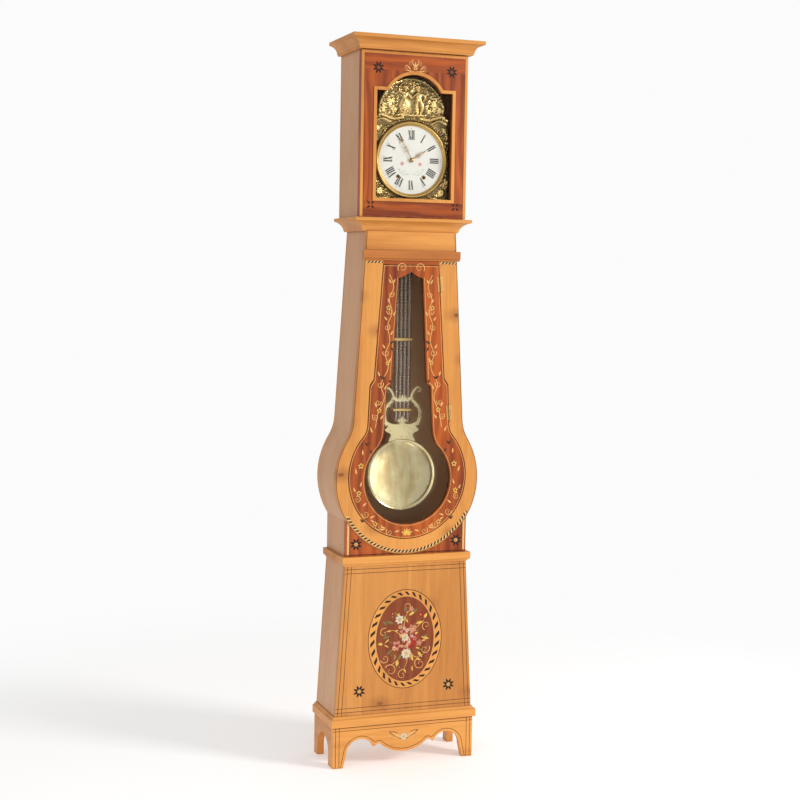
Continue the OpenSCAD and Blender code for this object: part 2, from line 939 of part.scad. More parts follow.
module minute_hand() {
    length = dial_r * 0.8;
    color(brass) at_dial() {
        rotate([0, -30, 0]) upright(y_dial - 7, y_dial - 7 + hand_t) difference() {
            union() {
                circle(r = 6);
                polygon([
                    [2.2, 0], [1.6, length * 0.62], [4, length * 0.72], [1.2, length * 0.84], [0, length],
                    [-1.2, length * 0.84], [-4, length * 0.72], [-1.6, length * 0.62], [-2.2, 0]
                ]);
            }
            circle(r = pivot_r + 0.2);
        }
        difference() {
            bar_y(cannon_r, y_dial - 7, y_motion + 3.5);
            bar_y(pivot_r + pivot_gap, y_motion - 1.2, y_motion + 4);
        }
        wheel(12, cannon_wheel_r, y_motion + 0.5, 2, 2.9);
    }
}

module hour_hand() {
    length = dial_r * 0.52;
    color(brass) at_dial() {
        difference() {
            rotate([0, 57.5, 0]) upright(y_dial - 4, y_dial - 4 + hand_t) {
                circle(r = 7);
                polygon([[2.5, 0], [2, length * 0.55], [6, length * 0.72], [1.6, length * 0.86], [0, length],
                    [-1.6, length * 0.86], [-6, length * 0.72], [-2, length * 0.55], [-2.5, 0]]);
            }
            bar_y(cannon_r + pivot_gap, y_dial - 10, y_motion + 10);
        }
        difference() {
            bar_y(pipe_r, y_dial - 4, y_motion - 0.5);
            bar_y(cannon_r + pivot_gap, y_dial - 10, y_motion + 10);
        }
        wheel(40, minute_wheel_x - minute_pinion_r - mesh_gap, y_motion - 4, 2.5, pipe_r - 0.2, 5);
    }
}

// ---------- striking ----------

module bell() {
    z_top = z_cage + cage_h;
    color(brass) {
        translate([0, bell_y, z_top + bell_rise]) rotate_extrude() intersection() {
            difference() {
                circle(r = bell_r);
                circle(r = bell_r - bell_t);
            }
            square(bell_r);
        }
        translate([0, bell_y, z_top]) cylinder(r = 3, h = bell_rise + bell_r - 1);
        translate([-20, y_front_plate, z_top]) cube([40, y_back_plate + plate_t - y_front_plate, 4]);
    }
}

module hammer() {
    color(steel) translate([hammer_x, 0, z_hammer]) {
        bar_y(pivot_r, y_front_plate + plate_t + 0.5, y_back_plate - 0.5);
        translate([-hammer_stem / 2, bell_y - hammer_stem / 2, 0]) cube([hammer_stem, hammer_stem, hammer_l]);
        translate([-hammer_head_l / 2, bell_y, hammer_l + 4]) rotate([0, 90, 0])
            cylinder(r = hammer_head_r, h = hammer_head_l);
    }
}

// ---------- pendulum ----------

module pendulum_rod() {
    color(steel) {
        upright(y_pendulum - 2, y_pendulum + 2) difference() {
            union() {
                translate([0, z_pivot]) circle(r = 6);
                translate([-rod_r, z_grid_top]) square([2 * rod_r, z_pivot - z_grid_top]);
            }
            translate([0, z_pivot]) circle(r = cock_pin_r + pivot_gap);
            translate([0, z_pivot - crutch_l]) circle(r = crutch_pin_r + fit_gap);
        }
    }
}

module gridiron() {
    z_low = z_lyre + 4;
    rod_h = z_grid_top - grid_cap_h - z_low;
    color(steel) {
        for (i = [-1.5:1.5]) translate([i * grid_pitch, y_pendulum, z_low])
            cylinder(r = grid_rod_r, h = rod_h, $fn = 24);
        for (i = [-2:2]) translate([i * grid_pitch, y_pendulum, z_low])
            cylinder(r = plain_rod_r, h = rod_h, $fn = 16);
        bars = [[z_grid_top - grid_cap_h, grid_cap_h], [z_grid_bar, grid_bar_h], [z_lyre + 37, grid_cap_h]];
        for (bar = bars) translate([-2.3 * grid_pitch, y_pendulum - grid_bar_t / 2, bar[0]])
            cube([4.6 * grid_pitch, grid_bar_t, bar[1]]);
    }
}

module lyre() {
    t0 = y_pendulum - lyre_t / 2;
    color(brass) upright(t0, t0 + lyre_t) difference() {
        union() {
            translate([0, z_lyre + lyre_bow_z]) circle(r = lyre_half);
            polygon([
                [lyre_neck_half + 7, z_lyre + 6], [-lyre_neck_half - 7, z_lyre + 6],
                [-lyre_neck_half, z_lyre - lyre_neck_h], [lyre_neck_half, z_lyre - lyre_neck_h]
            ]);
            translate([-lyre_stem / 2, z_bob + bob_r - 6]) square([lyre_stem, z_lyre - z_bob - bob_r]);
            for (side = [-1, 1]) translate([side * (lyre_half - lyre_arm / 2), z_lyre + lyre_bow_z])
                translate([-lyre_arm / 2, 0]) square([lyre_arm, lyre_h - lyre_bow_z]);
        }
        translate([0, z_lyre + lyre_bow_z + 8]) circle(r = lyre_half - lyre_arm);
        translate([lyre_arm - lyre_half, z_lyre + lyre_bow_z + 8])
            square([2 * (lyre_half - lyre_arm), lyre_h]);
    }
}

module bob() {
    sphere_r = (pow(bob_r - 2, 2) + pow(bob_t / 2, 2)) / bob_t;
    color(brass) translate([0, y_pendulum, z_bob]) {
        rotate([90, 0, 0]) rotate_extrude($fn = 128) intersection() {
            translate([0, -bob_t / 2]) square([bob_r, bob_t]);
            union() {
                intersection() {
                    translate([0, bob_t / 2 - sphere_r]) circle(r = sphere_r, $fn = 256);
                    translate([0, sphere_r - bob_t / 2]) circle(r = sphere_r, $fn = 256);
                }
                translate([0, -2]) square([bob_r, 4]);
            }
        }
    }
}

// ---------- weights ----------

module weight() {
    translate([weight_x, weight_y, z_weight]) {
        cylinder(r = weight_r, h = weight_h);
        translate([0, 0, weight_h]) cylinder(r = 4, h = hook_h);
    }
}

module going_weight() {
    color(iron) weight();
}

module strike_weight() {
    color(iron) mirror([1, 0, 0]) weight();
}

module cord() {
    z0 = z_weight + weight_h + hook_h;
    translate([weight_x, weight_y, z0]) cylinder(r = cord_r - 0.3, h = z_cord_top - z0, $fn = 16);
}

module going_cord() {
    color(hemp) cord();
}

module strike_cord() {
    color(hemp) mirror([1, 0, 0]) cord();
}

front_apron();
left_apron();
right_apron();
plinth_moulding();
base_floor();
base_front();
base_left_side();
base_right_side();
medallion();
base_rail();
back_board();
box_spandrels();
box_sides();
trunk_frame();
trunk_left_side();
trunk_right_side();
frieze();
door_hood_moulding();
trunk_door();
trunk_door_glass();
trunk_door_beads();
trunk_hinges();
trunk_door_leaves();
shoulder_moulding();
seat_board();
hood_left_side();
hood_right_side();
hood_back();
hood_top();
cornice();
hood_door();
hood_door_moulding();
hood_door_glass();
hood_door_beads();
hood_hinges();
hood_door_leaves();
embossed_front();
dial();
bezel();
front_plate();
back_plate();
pillars();
going_drum();
strike_drum();
centre_wheel();
escape_wheel();
anchor();
minute_wheel();
minute_hand();
hour_hand();
hammer();
bell();
pendulum_rod();
gridiron();
lyre();
bob();
going_weight();
strike_weight();
going_cord();
strike_cord();
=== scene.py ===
"""A grandfather clock with a violin-shaped trunk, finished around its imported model.

Metres, +Z up, the front faces -Y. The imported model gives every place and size. This script adds the
woods, the marquetry, the embossed brass, the dial, the hands, the pendulum and the weight cords.
"""

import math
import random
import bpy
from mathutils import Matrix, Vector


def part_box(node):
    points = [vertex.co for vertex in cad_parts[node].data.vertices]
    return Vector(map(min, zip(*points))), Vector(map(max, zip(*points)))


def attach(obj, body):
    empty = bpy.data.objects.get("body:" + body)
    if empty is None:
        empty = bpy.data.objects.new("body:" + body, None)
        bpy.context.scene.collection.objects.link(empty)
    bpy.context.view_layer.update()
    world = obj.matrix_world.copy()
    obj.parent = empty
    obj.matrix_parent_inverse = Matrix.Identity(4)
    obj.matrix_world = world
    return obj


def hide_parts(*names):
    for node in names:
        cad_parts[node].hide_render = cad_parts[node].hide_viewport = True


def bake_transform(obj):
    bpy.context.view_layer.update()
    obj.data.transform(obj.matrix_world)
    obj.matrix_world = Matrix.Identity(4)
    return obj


bl_info = {
    "name": "Grandfather Clock",
    "version": (1, 0, 0),
    "blender": (4, 5, 0),
    "location": "View3D > Sidebar > Clock",
    "description": "Builds the finish and the fine pieces of a grandfather clock",
    "category": "Object",
}

import bmesh
import bpy
import numpy as np
from mathutils import Matrix, Vector

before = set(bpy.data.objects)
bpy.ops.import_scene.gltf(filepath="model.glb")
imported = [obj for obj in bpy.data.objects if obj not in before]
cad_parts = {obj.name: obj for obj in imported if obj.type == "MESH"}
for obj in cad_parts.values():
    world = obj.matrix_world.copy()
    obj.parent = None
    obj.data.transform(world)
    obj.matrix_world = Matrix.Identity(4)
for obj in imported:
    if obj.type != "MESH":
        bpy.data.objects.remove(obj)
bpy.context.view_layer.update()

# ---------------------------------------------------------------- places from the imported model

DIAL_LOW, DIAL_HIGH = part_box("dial")
DIAL_Z = (DIAL_LOW.z + DIAL_HIGH.z) / 2
DIAL_R = (DIAL_HIGH.x - DIAL_LOW.x) / 2
DIAL_Y = DIAL_LOW.y
BOB_LOW, BOB_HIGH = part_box("bob")
BOB_Z = (BOB_LOW.z + BOB_HIGH.z) / 2
BOB_R = (BOB_HIGH.x - BOB_LOW.x) / 2
BASE_LOW, BASE_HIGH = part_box("base_front")
MEDAL_LOW, MEDAL_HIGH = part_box("medallion")
FRAME_LOW, FRAME_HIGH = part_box("trunk_frame")
BELLY_R = FRAME_HIGH.x
BELLY_Z = FRAME_LOW.z + BELLY_R
DOOR_LOW, DOOR_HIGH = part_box("trunk_door")
HOOD_LOW, HOOD_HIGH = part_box("hood_door")
MASK_LOW, MASK_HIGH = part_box("embossed_front")
BOX_LOW, BOX_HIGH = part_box("box_spandrels")
APRON_LOW, APRON_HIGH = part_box("front_apron")
MM = 0.001
LIFT = 0.25 * MM
LEAF_STEP = 0.008 * MM
LINE = 1.5 * MM
GROW = 2.0
HANDLING_AND_CREASE_SHADE = 0.35
TURNED_ANGLE = 40
RELIEF_GAIN = 1.25
WINDING_X = 43 * MM
WINDING_DROP = 52.5 * MM

# The hood door: where its cross-grained rails end, and its stars (x, z)
HOOD_LOW_RAIL_TOP = 1794 * MM
HOOD_HIGH_RAIL_FOOT = 2199 * MM
HOOD_STAR = (122 * MM, 2204 * MM)
HOOD_CORNER_STAR = (142 * MM, 1783 * MM)

# The trunk door and its glass opening: half widths and heights of the sawn outline
DOOR_TOP = 92.6 * MM
NOTCH_X = 117.6 * MM
NOTCH_Z = 1243 * MM
NOTCH_DROP = 30 * MM
NECK_X = 131.6 * MM
DOOR_R_Z = 928 * MM
GLASS_STILE = 57 * MM
GLASS_TOP = 41 * MM
GLASS_Z = 1560 * MM
GLASS_R = 145 * MM
GLASS_R_Z = 920 * MM


# ---------------------------------------------------------------- settings

class ClockWoods(bpy.types.PropertyGroup):
    honey_light: bpy.props.FloatVectorProperty(
        name="Honey light", description="Palest tone of the honey wood", subtype="COLOR", size=3,
        default=(0.76, 0.335, 0.077))
    honey_dark: bpy.props.FloatVectorProperty(
        name="Honey dark", description="Grain lines of the honey wood", subtype="COLOR", size=3,
        default=(0.44, 0.145, 0.026))
    # Painted shade: the sides take the honey wood toned greyer and pinker, the way it looks in the cool shade
    # on the sides.
    side_pale_in_painted_shade: bpy.props.FloatVectorProperty(
        name="Side light (painted shade)", description="Palest tone of the paler boards of the sides", subtype="COLOR",
        size=3, default=(0.69, 0.375, 0.19))
    side_grain_in_painted_shade: bpy.props.FloatVectorProperty(
        name="Side dark (painted shade)", description="Grain lines of the paler boards of the sides", subtype="COLOR", size=3,
        default=(0.50, 0.255, 0.125))
    red_light: bpy.props.FloatVectorProperty(
        name="Red light", description="Palest tone of the red veneer", subtype="COLOR", size=3,
        default=(0.50, 0.105, 0.012))
    red_dark: bpy.props.FloatVectorProperty(
        name="Red dark", description="Grain lines of the red veneer", subtype="COLOR", size=3,
        default=(0.17, 0.026, 0.006))
    cream: bpy.props.FloatVectorProperty(
        name="Cream inlay", description="Light inlay wood", subtype="COLOR", size=3,
        default=(0.80, 0.50, 0.20))
    ebony: bpy.props.FloatVectorProperty(
        name="Dark inlay", description="Dark inlay wood", subtype="COLOR", size=3,
        default=(0.030, 0.014, 0.010))


class ClockMetals(bpy.types.PropertyGroup):
    brass: bpy.props.FloatVectorProperty(
        name="Polished brass", description="Bob, bezel and lyre", subtype="COLOR", size=3,
        default=(0.66, 0.44, 0.15))
    antique: bpy.props.FloatVectorProperty(
        name="Antique brass", description="Raised parts of the embossed front", subtype="COLOR", size=3,
        default=(0.98, 0.72, 0.30))
    tarnish: bpy.props.FloatVectorProperty(
        name="Tarnish", description="Hollows of the embossed front", subtype="COLOR", size=3,
        default=(0.035, 0.018, 0.008))


class ClockDial(bpy.types.PropertyGroup):
    numeral_height: bpy.props.FloatProperty(
        name="Numeral height", description="Height of the hour numerals", default=29 * MM, unit="LENGTH")
    ring_radius: bpy.props.FloatProperty(
        name="Numeral radius", description="Radius of the middle of the numerals", default=78 * MM,
        unit="LENGTH")
    hour: bpy.props.FloatProperty(
        name="Hour hand", description="Angle of the hour hand from twelve", default=math.radians(57.5),
        subtype="ANGLE")
    minute: bpy.props.FloatProperty(
        name="Minute hand", description="Angle of the minute hand from twelve", default=math.radians(-30),
        subtype="ANGLE")


# ---------------------------------------------------------------- shader groups and materials

def socket(group, name, kind, direction, default=None):
    item = group.interface.new_socket(name=name, in_out=direction, socket_type="NodeSocket" + kind)
    if default is not None:
        item.default_value = default
    return item


def link(tree, a, b):
    tree.links.new(a, b)


def math_node(tree, operation, first, second=None, clamp=False):
    node = tree.nodes.new("ShaderNodeMath")
    node.operation = operation
    node.use_clamp = clamp
    for slot, value in enumerate((first, second)):
        if value is None:
            continue
        if isinstance(value, (int, float)):
            node.inputs[slot].default_value = value
        else:
            link(tree, value, node.inputs[slot])
    return node.outputs[0]


def mix_colour(tree, factor, first, second, blend="MIX"):
    node = tree.nodes.new("ShaderNodeMix")
    node.data_type = "RGBA"
    node.blend_type = blend
    for slot, value in ((0, factor), (6, first), (7, second)):
        if isinstance(value, (int, float)):
            node.inputs[slot].default_value = value
        elif isinstance(value, (tuple, list)):
            node.inputs[slot].default_value = (*value[:3], 1)
        else:
            link(tree, value, node.inputs[slot])
    return node.outputs[2]


def ramp(tree, value, low, high):
    node = tree.nodes.new("ShaderNodeMapRange")
    node.interpolation_type = "SMOOTHSTEP"
    node.inputs["From Min"].default_value = low
    node.inputs["From Max"].default_value = high
    link(tree, value, node.inputs["Value"])
    return node.outputs[0]


def noise(tree, vector, scale, detail=4.0, rough=0.5, distort=0.0):
    node = tree.nodes.new("ShaderNodeTexNoise")
    node.inputs["Scale"].default_value = scale
    node.inputs["Detail"].default_value = detail
    node.inputs["Roughness"].default_value = rough
    node.inputs["Distortion"].default_value = distort
    link(tree, vector, node.inputs["Vector"])
    return node.outputs["Fac"]


def stretched(tree, vector, scale):
    node = tree.nodes.new("ShaderNodeMapping")
    node.inputs["Scale"].default_value = scale
    link(tree, vector, node.inputs["Vector"])
    return node.outputs[0]


def grain_group():
    """Long wood grain that runs along the third axis of its coordinates: figure, pores and knots."""
    group = bpy.data.node_groups.new("wood_grain", "ShaderNodeTree")
    socket(group, "Coordinates", "Vector", "INPUT")
    socket(group, "Light", "Color", "INPUT")
    socket(group, "Dark", "Color", "INPUT")
    socket(group, "Figure", "Float", "INPUT", 0.5)
    socket(group, "Knots", "Float", "INPUT", 0.0)
    socket(group, "Boards", "Float", "INPUT", 0.0)
    socket(group, "Color", "Color", "OUTPUT")
    socket(group, "Roughness", "Float", "OUTPUT")
    socket(group, "Height", "Float", "OUTPUT")
    source = group.nodes.new("NodeGroupInput")
    result = group.nodes.new("NodeGroupOutput")
    place = source.outputs["Coordinates"]
    # Broad figure: rings cut along the board
    warp = noise(group, stretched(group, place, (5, 5, 0.9)), 1.0, 2.0, 0.4)
    rings = group.nodes.new("ShaderNodeTexWave")
    rings.wave_type = "BANDS"
    rings.bands_direction = "X"
    rings.inputs["Scale"].default_value = 9.0
    rings.inputs["Distortion"].default_value = 11.0
    rings.inputs["Detail"].default_value = 3.0
    rings.inputs["Detail Scale"].default_value = 1.2
    link(group, stretched(group, place, (1.0, 1.6, 0.22)), rings.inputs["Vector"])
    fine = noise(group, stretched(group, place, (260, 260, 7)), 1.0, 5.0, 0.65)
    pores = noise(group, stretched(group, place, (900, 900, 30)), 1.0, 2.0, 0.5)
    cloud = noise(group, stretched(group, place, (9, 9, 2.5)), 1.0, 4.0, 0.55)
    # Knots: small dark eyes, far apart
    knot = group.nodes.new("ShaderNodeTexVoronoi")
    knot.feature = "F1"
    knot.voronoi_dimensions = "2D"
    knot.inputs["Scale"].default_value = 1.0
    board_face = group.nodes.new("ShaderNodeMapping")
    board_face.inputs["Rotation"].default_value = (math.radians(-90), 0, 0)
    link(group, place, board_face.inputs["Vector"])
    link(group, stretched(group, board_face.outputs[0], (4.2, 7.0, 1.0)), knot.inputs["Vector"])
    eye = math_node(group, "ADD",
                    math_node(group, "MULTIPLY", ramp(group, knot.outputs["Distance"], 0.24, 0.04), 0.42),
                    math_node(group, "MULTIPLY", ramp(group, knot.outputs["Distance"], 0.06, 0.02), 0.5),
                    True)
    eye = math_node(group, "MULTIPLY", eye, source.outputs["Knots"])
    figure = math_node(group, "MULTIPLY", rings.outputs["Fac"], source.outputs["Figure"])
    tone = math_node(group, "ADD", math_node(group, "MULTIPLY", ramp(group, fine, 0.35, 0.75), 0.32),
                     math_node(group, "MULTIPLY", figure, 0.55))
    tone = math_node(group, "ADD", tone, math_node(group, "MULTIPLY", ramp(group, warp, 0.38, 0.66), 0.42))
    tone = math_node(group, "SUBTRACT", tone,
                     math_node(group, "MULTIPLY", ramp(group, cloud, 0.3, 0.7), 0.22), True)
    colour = mix_colour(group, tone, source.outputs["Light"], source.outputs["Dark"])
    # Boards glued side by side, each a little lighter or darker
    across = group.nodes.new("ShaderNodeSeparateXYZ")
    link(group, place, across.inputs[0])
    board = group.nodes.new("ShaderNodeTexWhiteNoise")
    board.noise_dimensions = "1D"
    link(group, math_node(group, "FLOOR", math_node(group, "MULTIPLY", across.outputs[0], 13.0)),
         board.inputs["W"])
    shade = math_node(group, "MULTIPLY", board.outputs["Value"], source.outputs["Boards"])
    colour = mix_colour(group, shade, colour, source.outputs["Dark"])
    dark_pore = math_node(group, "MULTIPLY", ramp(group, pores, 0.60, 0.74), 0.30)
    colour = mix_colour(group, dark_pore, colour, source.outputs["Dark"])
    colour = mix_colour(group, eye, colour, (0.22, 0.060, 0.015))
    link(group, colour, result.inputs["Color"])
    rough = math_node(group, "ADD", math_node(group, "MULTIPLY", fine, 0.16), 0.27)
    link(group, rough, result.inputs["Roughness"])
    height = math_node(group, "SUBTRACT", math_node(group, "MULTIPLY", fine, 0.5), dark_pore)
    link(group, height, result.inputs["Height"])
    return group


def wear_and_crease_shade_group():
    """Dust, handling and painted shade: paints shade into the creases, adds dust specks and dulls the polish
    in soft patches.
    """
    group = bpy.data.node_groups.new("handling_and_crease_shade", "ShaderNodeTree")
    socket(group, "Coordinates", "Vector", "INPUT")
    socket(group, "Color", "Color", "INPUT")
    socket(group, "Roughness", "Float", "INPUT", 0.3)
    socket(group, "Amount", "Float", "INPUT", 0.3)
    socket(group, "Color", "Color", "OUTPUT")
    socket(group, "Roughness", "Float", "OUTPUT")
    source = group.nodes.new("NodeGroupInput")
    result = group.nodes.new("NodeGroupOutput")
    smudge = noise(group, source.outputs["Coordinates"], 14.0, 4.0, 0.6)
    speck = noise(group, source.outputs["Coordinates"], 420.0, 2.0, 0.5)
    dull = math_node(group, "MULTIPLY", ramp(group, smudge, 0.42, 0.7), source.outputs["Amount"])
    rough = math_node(group, "ADD", source.outputs["Roughness"], math_node(group, "MULTIPLY", dull, 0.28),
                      True)
    link(group, rough, result.inputs["Roughness"])
    # Painted shade: ambient occlusion darkens the creases towards near black where shade falls; the fine
    # specks added to it are dust.
    crease = group.nodes.new("ShaderNodeAmbientOcclusion")
    crease.inputs["Distance"].default_value = 0.012
    crease.samples = 6
    shade = math_node(group, "MULTIPLY", ramp(group, crease.outputs["AO"], 0.85, 0.35),
                      source.outputs["Amount"])
    crease_shade_and_grime = math_node(group, "ADD", shade, math_node(group, "MULTIPLY", ramp(group, speck, 0.66, 0.8), 0.05),
                      True)
    link(group, mix_colour(group, crease_shade_and_grime, source.outputs["Color"], (0.035, 0.02, 0.012)),
         result.inputs["Color"])
    return group


GROUPS = {}


def place_group(tree, name, **values):
    node = tree.nodes.new("ShaderNodeGroup")
    node.node_tree = GROUPS[name]
    for key, value in values.items():
        target = node.inputs[key]
        if hasattr(value, "links"):
            link(tree, value, target)
        elif isinstance(value, (tuple, list)) and len(value) == 3 and target.type == "RGBA":
            target.default_value = (*value, 1)
        else:
            target.default_value = value
    return node


def new_material(name):
    material = bpy.data.materials.new(name)
    material.use_nodes = True
    tree = material.node_tree
    shader = tree.nodes["Principled BSDF"]
    coordinates = tree.nodes.new("ShaderNodeTexCoord")
    return material, tree, shader, coordinates


def bump(tree, shader, height, strength, distance):
    node = tree.nodes.new("ShaderNodeBump")
    node.inputs["Strength"].default_value = strength
    node.inputs["Distance"].default_value = distance
    link(tree, height, node.inputs["Height"])
    link(tree, node.outputs[0], shader.inputs["Normal"])


def wood(name, light, dark, along="Z", figure=0.5, knots=0.0, offset=(0, 0, 0), inside=None, coat=0.06,
         boards=0.0):
    """A waxed board. along is the axis of its grain; inside gives the faces that look into the case the tone
    of plain unfinished wood, made lighter as painted light since little light reaches into the case.
    """
    material, tree, shader, coordinates = new_material(name)
    turn = tree.nodes.new("ShaderNodeMapping")
    turn.inputs["Rotation"].default_value = {
        "Z": (0, 0, 0), "X": (0, math.radians(90), 0), "Y": (math.radians(90), 0, 0)}[along]
    turn.inputs["Location"].default_value = offset
    link(tree, coordinates.outputs["Object"], turn.inputs["Vector"])
    grain = place_group(tree, "wood_grain", Coordinates=turn.outputs[0], Light=light, Dark=dark,
                        Figure=figure, Knots=knots, Boards=boards)
    # The handling group dulls the polish, adds dust specks and paints shade into the creases.
    worn_and_shaded = place_group(tree, "handling_and_crease_shade", Coordinates=coordinates.outputs["Object"],
                       Color=grain.outputs["Color"], Roughness=grain.outputs["Roughness"], Amount=HANDLING_AND_CREASE_SHADE)
    colour = worn_and_shaded.outputs["Color"]
    if inside:
        # Plain wood and painted light: the inward faces take a pale plain-wood colour, lighter than that
        # wood, standing in for light that hardly reaches inside the case.
        colour = mix_colour(tree, inside_plain_wood_and_painted_light_mask(tree, coordinates, inside), colour, (0.62, 0.40, 0.22))
    link(tree, colour, shader.inputs["Base Color"])
    link(tree, worn_and_shaded.outputs["Roughness"], shader.inputs["Roughness"])
    shader.inputs["Coat Weight"].default_value = coat
    shader.inputs["Coat Roughness"].default_value = 0.22
    shader.inputs["Specular IOR Level"].default_value = 0.28
    bump(tree, shader, grain.outputs["Height"], 0.25, 0.0004)
    return material


def inside_plain_wood_and_painted_light_mask(tree, coordinates, inside):
    """1 on the faces that look into the case: towards the middle for a side, forwards for a back board."""
    place = tree.nodes.new("ShaderNodeSeparateXYZ")
    link(tree, coordinates.outputs["Object"], place.inputs[0])
    facing = tree.nodes.new("ShaderNodeSeparateXYZ")
    link(tree, coordinates.outputs["Normal"], facing.inputs[0])
    if inside == "side":
        inward = math_node(tree, "MULTIPLY", place.outputs[0], facing.outputs[0])
        return ramp(tree, inward, -0.01, -0.04)
    if inside == "back":
        return ramp(tree, facing.outputs[1], -0.3, -0.7)
    return ramp(tree, facing.outputs[1], 0.3, 0.7)


def metal(name, colour, rough, tarnish=None, amount=0.0, grain_scale=0.0, relief=None):
    material, tree, shader, coordinates = new_material(name)
    # The handling group dulls the polish, adds dust specks and paints shade into the creases.
    worn_and_shaded = place_group(tree, "handling_and_crease_shade", Coordinates=coordinates.outputs["Object"], Color=colour,
                       Roughness=rough, Amount=amount)
    tint = worn_and_shaded.outputs["Color"]
    if tarnish:
        hollow = tree.nodes.new("ShaderNodeAmbientOcclusion")
        hollow.inputs["Distance"].default_value = 0.010
        hollow.samples = 8
        patch = noise(tree, coordinates.outputs["Object"], 70.0, 4.0, 0.6)
        place = tree.nodes.new("ShaderNodeSeparateXYZ")
        link(tree, coordinates.outputs["Object"], place.inputs[0])
        sunk = ramp(tree, place.outputs[1], relief - 3.2 * MM, relief - 0.6 * MM)
        deep = math_node(tree, "MULTIPLY", ramp(tree, hollow.outputs["AO"], 0.8, 0.3), 0.6)
        deep = math_node(tree, "ADD", deep, math_node(tree, "MULTIPLY", sunk, 0.75))
        deep = math_node(tree, "ADD", deep, math_node(tree, "MULTIPLY", ramp(tree, patch, 0.52, 0.8), 0.25),
                         True)
        tint = mix_colour(tree, deep, tint, tarnish)
    link(tree, tint, shader.inputs["Base Color"])
    link(tree, worn_and_shaded.outputs["Roughness"], shader.inputs["Roughness"])
    shader.inputs["Metallic"].default_value = 1.0
    if grain_scale:
        brushed = noise(tree, coordinates.outputs["Object"], grain_scale, 3.0, 0.6)
        bump(tree, shader, brushed, 0.08, 0.0003)
    return material


def bob_brass():
    """Polished pale brass with soft cloudy patches and paler greenish streaks."""
    material, tree, shader, coordinates = new_material("bob_brass")
    cloud = noise(tree, stretched(tree, coordinates.outputs["Object"], (9, 9, 5)), 1.0, 4.0, 0.6)
    streak = noise(tree, stretched(tree, coordinates.outputs["Object"], (60, 60, 8)), 1.0, 4.0, 0.6)
    tint = mix_colour(tree, ramp(tree, cloud, 0.35, 0.65), (0.82, 0.70, 0.40), (0.56, 0.40, 0.18))
    tint = mix_colour(tree, math_node(tree, "MULTIPLY", ramp(tree, streak, 0.45, 0.7), 0.6), tint,
                      (0.80, 0.82, 0.55))
    link(tree, tint, shader.inputs["Base Color"])
    rough = math_node(tree, "ADD", math_node(tree, "MULTIPLY", cloud, 0.22), 0.10)
    link(tree, rough, shader.inputs["Roughness"])
    shader.inputs["Metallic"].default_value = 1.0
    bump(tree, shader, cloud, 0.35, 0.004)
    return material


def plain(name, colour, rough, specular=0.5, coat=0.0, speckle=60.0, contrast=0.12):
    """A coloured veneer, paint or enamel with a soft mottle."""
    material, tree, shader, coordinates = new_material(name)
    mottle = noise(tree, coordinates.outputs["Object"], speckle, 4.0, 0.6)
    darker = tuple(channel * (1 - contrast * 2.5) for channel in colour)
    tint = mix_colour(tree, ramp(tree, mottle, 0.35, 0.75), colour, darker)
    link(tree, tint, shader.inputs["Base Color"])
    shader.inputs["Roughness"].default_value = rough
    shader.inputs["Specular IOR Level"].default_value = specular
    shader.inputs["Coat Weight"].default_value = coat
    return material


def clear_glass():
    material, tree, shader, coordinates = new_material("window_glass")
    shader.inputs["Base Color"].default_value = (0.93, 0.97, 0.95, 1)
    shader.inputs["Transmission Weight"].default_value = 1.0
    shader.inputs["IOR"].default_value = 1.45
    ripple = noise(tree, coordinates.outputs["Object"], 9.0, 1.0, 0.4)
    smear = math_node(tree, "MULTIPLY", ramp(tree, ripple, 0.45, 0.75), 0.015)
    link(tree, smear, shader.inputs["Roughness"])
    shader.inputs["Alpha"].default_value = 0.10
    return material


PAINT = {}


